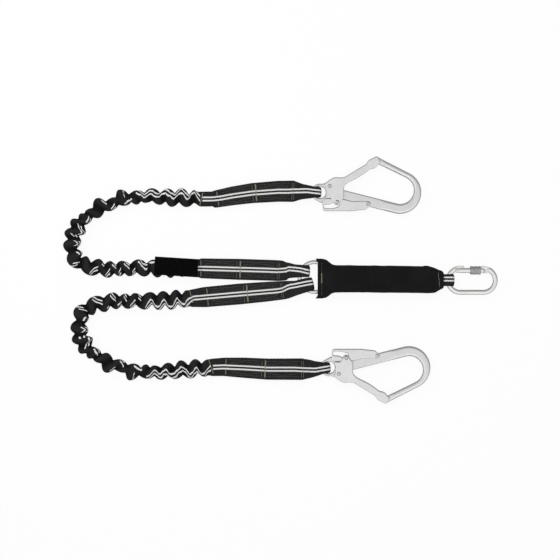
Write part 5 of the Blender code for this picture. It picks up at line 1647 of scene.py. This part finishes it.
def round_bar(name, path, radius, material, closed=False):
    """Round bar along a path of (x, y) in the middle plane."""
    path = np.array(path, float)
    if closed:
        ahead = np.roll(path, -1, axis=0) - np.roll(path, 1, axis=0)
        ahead /= np.linalg.norm(ahead, axis=1)[:, None]
    else:
        ahead = headings(path)
    turns = np.linspace(0, 2 * math.pi, BAR_SIDES, endpoint=False)
    rows = np.empty((len(path), BAR_SIDES, 3))
    rows[:, :, 0] = path[:, :1] - ahead[:, 1:] * radius * np.cos(turns)
    rows[:, :, 1] = path[:, 1:] + ahead[:, :1] * radius * np.cos(turns)
    rows[:, :, 2] = LEVEL + radius * np.sin(turns)
    if closed:
        rows = np.concatenate([rows, rows[:1]])
    weave = np.zeros((len(rows), BAR_SIDES + 1, 2))
    piece = skin(name, rows * MM, weave, material, caps=not closed)
    if closed:
        face_outwards(piece.data, join=True)
    return piece


ring_path = arc(RING_CENTRE, RING_RADIUS, 0, 356.25, 96)
steel_ring = round_bar("round_steel_ring", ring_path, RING_BAR, RING_STEEL, True)
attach(steel_ring, "ring")
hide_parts("ring")
print("ring faces", len(steel_ring.data.polygons))

# %% [markdown]
# The carabiner's bar stops short of its gate on both sides. On the left a tongue and a thin key
# pass into the gate, and on the right a tab carries the hinge rivet. Room for the gate is cut
# out of the bar first, and then each of these is joined to it as a plate.

# %% Carabiner body
OVAL = (168.9, -2.7)  # centre of the left bend; the outlines are measured from it
OVAL_RADIUS = 25.0
OVAL_LENGTH = 48.0
GATE_LINE = 20.5
HINGE = (49.7, 18.6)
HINGE_BORE = 2.2
TAB_RADIUS = 4.6
THROUGH = 12  # half thickness of a tool that goes through everything


def at_oval(points):
    """Points measured from the carabiner's left bend, placed on the table."""
    return [(OVAL[0] + x, OVAL[1] + y) for x, y in points]


def oval_plate(points, half, rim, step, soft, segments):
    """A plate of the carabiner's steel."""
    return plate("tool", [at_oval(points)], half, rim, BRIGHT_STEEL, step, soft, segments)


left_bend = arc((0, 0), OVAL_RADIUS, 104, 270, 50)
right_bend = arc((OVAL_LENGTH, 0), OVAL_RADIUS, 270, 424, 46)
straight = [(x, -OVAL_RADIUS) for x in np.linspace(0, OVAL_LENGTH, 14)[1:-1]]
oval_path = at_oval(left_bend + straight + right_bend)
oval = round_bar("carabiner_bent_bar", oval_path, OVAL_BAR, BRIGHT_STEEL)
gap = [(-10, 14.3), (42, 14.3), (42, 35), (-10, 35)]
turning_room = arc(HINGE, 8.8, 0, 350, 40)
tongue = [(-19, 23), (-14, 27), (-8, 29.4), (-3, 30), (7.9, 30), (7.9, 25.8)]
tongue += [(-12, 25.8), (-14, 21)]
key = [(-0.8, 24.0), (-0.8, 17.2), (-3.35, 17.2)] + arc((-5, GATE_LINE), 1.65, 0, 180, 12)
key += [(-6.65, 17.2), (-13, 17.2), (-13, 24.0)]
tab = arc(HINGE, TAB_RADIUS, 100, 260, 20) + [(60.5, 14.6), (65.5, 17.5), (60.0, 25.0)]
brow = [(43.6, 26.3), (43.6, 29.0), (45, 29.6), (50.5, 29.4), (57.5, 27.4), (60.5, 25.6)]
brow += [(59, 23.6), (56.6, 26.3)]
for outline, sizes, action in (  # sizes: half thickness, rim, step, softening, steps of the rim
    (gap, (THROUGH, TOOL_RIM, 1.0, 0, 1), "DIFFERENCE"),
    (turning_room, (THROUGH, TOOL_RIM, 1.0, 0, 1), "DIFFERENCE"),
    (tongue, (3.5, 0.8, 0.7, 0.5, 3), "UNION"),
    (key, (1.5, 0.1, 0.5, 0, 1), "UNION"),
    (tab, (2.2, 0.2, 0.7, 0.3, 1), "UNION"),
    (brow, (3.6, 0.8, 0.7, 0.3, 3), "UNION"),
    (circle(HINGE, HINGE_BORE), (THROUGH, TOOL_RIM, 1.0, 0, 1), "DIFFERENCE"),
):
    carve(oval, oval_plate(outline, *sizes), action)
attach(oval, "carabiner")
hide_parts("carabiner_body")
print("bent bar faces", len(oval.data.polygons))

# %% [markdown]
# The gate is turned round bar with a domed end. It is forked over the hinge tab at one end and
# slotted for the key at the other, and a bore along it holds the spring and its plunger.

# %% Carabiner gate
GATE_START = -9.2
GATE_REACH = 52.5  # where its domed end stops
KEY_PIN = (-5.0, GATE_LINE)
KEY_BORE = 1.55
SPRING_LONG = 13.6
SPRING_BORE = 2.0
BORE_LONG = 15.6
BAR_STEPS = 32


def turned_bar(profile, start, steps=BAR_STEPS, teeth=None):
    """A profile of radius and distance in mm, turned about the gate's line."""
    turns = np.linspace(0, 2 * math.pi, steps, endpoint=False)
    rows = np.empty((len(profile), steps, 3))
    for i, (radius, along) in enumerate(profile):
        reach = max(radius, AXIS_GAP) + (teeth(along, radius, turns) if teeth else 0 * turns)
        rows[i, :, 0] = OVAL[0] + start + along
        rows[i, :, 1] = OVAL[1] + GATE_LINE + reach * np.cos(turns)
        rows[i, :, 2] = LEVEL + reach * np.sin(turns)
    return rows


def turned_skin(name, rows, material, caps=True):
    """A skin over turned rows, whose finish needs no map."""
    return skin(name, rows * MM, np.zeros((len(rows), rows.shape[1] + 1, 2)), material, caps)


dome_centre = GATE_REACH - GATE_START - OVAL_BAR
dome = [
    (OVAL_BAR * math.cos(a), dome_centre + OVAL_BAR * math.sin(a))
    for a in np.radians(np.arange(0, 91, 10))
]
gate_rows = turned_bar([(0, 0), (4.2, 0), (4.7, 0.25), (OVAL_BAR, 0.8)] + dome, GATE_START)
gate = turned_skin("carabiner_turned_gate", gate_rows, BRIGHT_STEEL)
fork = [(43.9, 10.5), (69.7, 10.5), (69.7, 30.5), (43.9, 30.5)]
mouth = [(-14.2, 10.5), (0.6, 10.5), (0.6, 30.5), (-14.2, 30.5)]
for outline, half, step in (
    (fork, 2.5, 2.0), (mouth, 1.8, 2.0),
    (circle(HINGE, HINGE_BORE), THROUGH, 1.0), (circle(KEY_PIN, KEY_BORE), THROUGH, 1.0),
):  # fmt: skip
    carve(gate, oval_plate(outline, half, TOOL_RIM, step, 0, 1))
bore = [(AXIS_GAP, 0), (SPRING_BORE, 0), (SPRING_BORE, BORE_LONG), (AXIS_GAP, BORE_LONG)]
bore_start = HINGE[0] - TAB_RADIUS - SEAT - SPRING_LONG - SPRING_BORE
carve(gate, turned_skin("bore", turned_bar(bore, bore_start), BRIGHT_STEEL))
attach(gate, "carabiner_gate_body")
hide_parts("carabiner_gate")
print("gate faces", len(gate.data.polygons))

# %% [markdown]
# The screw sleeve has three knurled bands with two narrow grooves between them. The knurling is
# cut as fine slanted teeth, and the rivet of the gate's hinge goes on last.

# %% Screw sleeve and hinge rivet
SLEEVE_START = 20.8
SLEEVE_LONG = 21.8
SLEEVE_RADIUS = 8.7
SLEEVE_BORE = 5.3
KNURL_FROM = 8.0  # only the bands, which are wider than this, have teeth
KNURL_TEETH = 26
KNURL_DEEP = 0.3


def knurl(along, radius, turns):
    """Fine teeth on the sleeve's bands, slanting both ways."""
    if radius < KNURL_FROM:
        return 0 * turns
    one = np.sin(KNURL_TEETH * turns + along * 2.6)
    other = np.sin(KNURL_TEETH * turns - along * 2.6)
    return -KNURL_DEEP + KNURL_DEEP * np.maximum(one, other)


def sleeve_radius(along):
    """The sleeve's three bands with two narrow grooves between them."""
    groove = min(abs(along - SLEEVE_LONG / 3), abs(along - 2 * SLEEVE_LONG / 3))
    end = min(along, SLEEVE_LONG - along)
    radius = SLEEVE_RADIUS - 1.1 * (1 - float(smoothstep((groove - 0.3) / 0.8)))
    return radius - 0.9 * (1 - float(smoothstep(end / 0.9)))


sleeve_profile = [(SLEEVE_BORE, 0.0)]
sleeve_profile += [(sleeve_radius(s), s) for s in np.linspace(0, SLEEVE_LONG, 75)]
sleeve_profile += [(SLEEVE_BORE, SLEEVE_LONG), (SLEEVE_BORE, 0.0)]
sleeve_rows = turned_bar(sleeve_profile, SLEEVE_START, 6 * KNURL_TEETH, knurl)
sleeve = turned_skin("carabiner_knurled_sleeve", sleeve_rows, SLEEVE_GREY, caps=False)
face_outwards(sleeve.data, join=True)
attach(sleeve, "carabiner_sleeve_body")
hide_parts("carabiner_screw_sleeve")
hinge_head = rivet(
    "carabiner_hinge_rivet_domed", at_oval([HINGE])[0], 6.2, 2.7, 1.9,
    "carabiner", "carabiner_hinge_rivet", PIN_STEEL,
)  # fmt: skip
print("sleeve faces", len(sleeve.data.polygons))

# %% [markdown]
# Springs, plunger and the carabiner's latch pin are carried over from the CAD model as they are,
# since hardly anything of them is ever seen. They still take a finish of their own.

# %% Small parts kept from the CAD model
KEPT_FINISHES = {
    SPRING_WIRE: (
        "hook_upper_gate_spring", "hook_lower_gate_spring", "hook_upper_lever_spring",
        "hook_lower_lever_spring", "carabiner_gate_spring",
    ),
    PIN_STEEL: ("carabiner_spring_plunger", "carabiner_latch_pin"),
}  # fmt: skip
for finish, kept in KEPT_FINISHES.items():
    for kept_name in kept:
        nodes[kept_name].material_slots[0].material = finish
    print(finish.name, "on", len(kept))

# %% [markdown]
# The tear webbing inside the cover is the same black stuff, seen only if one looks down the
# mouth, so it takes a weave that needs no map of its own.

# %% Tear webbing inside
w = Wiring("tear_webbing", roughness=0.85)
ribs = w.add("TexWave", wave_type="BANDS", bands_direction="X")
ribs.inputs["Scale"].default_value = 320.0
w.plug(w.place(), ribs.inputs["Vector"])
w.colour(w.mixed(ribs.outputs[1], (0.006, 0.006, 0.006), (0.018, 0.018, 0.019)))
w.bump(ribs.outputs[1], 0.0002, 0.6)
nodes["absorber_tear_pack"].material_slots[0].material = w.material
print("kept with a weave:", nodes["absorber_tear_pack"].name)
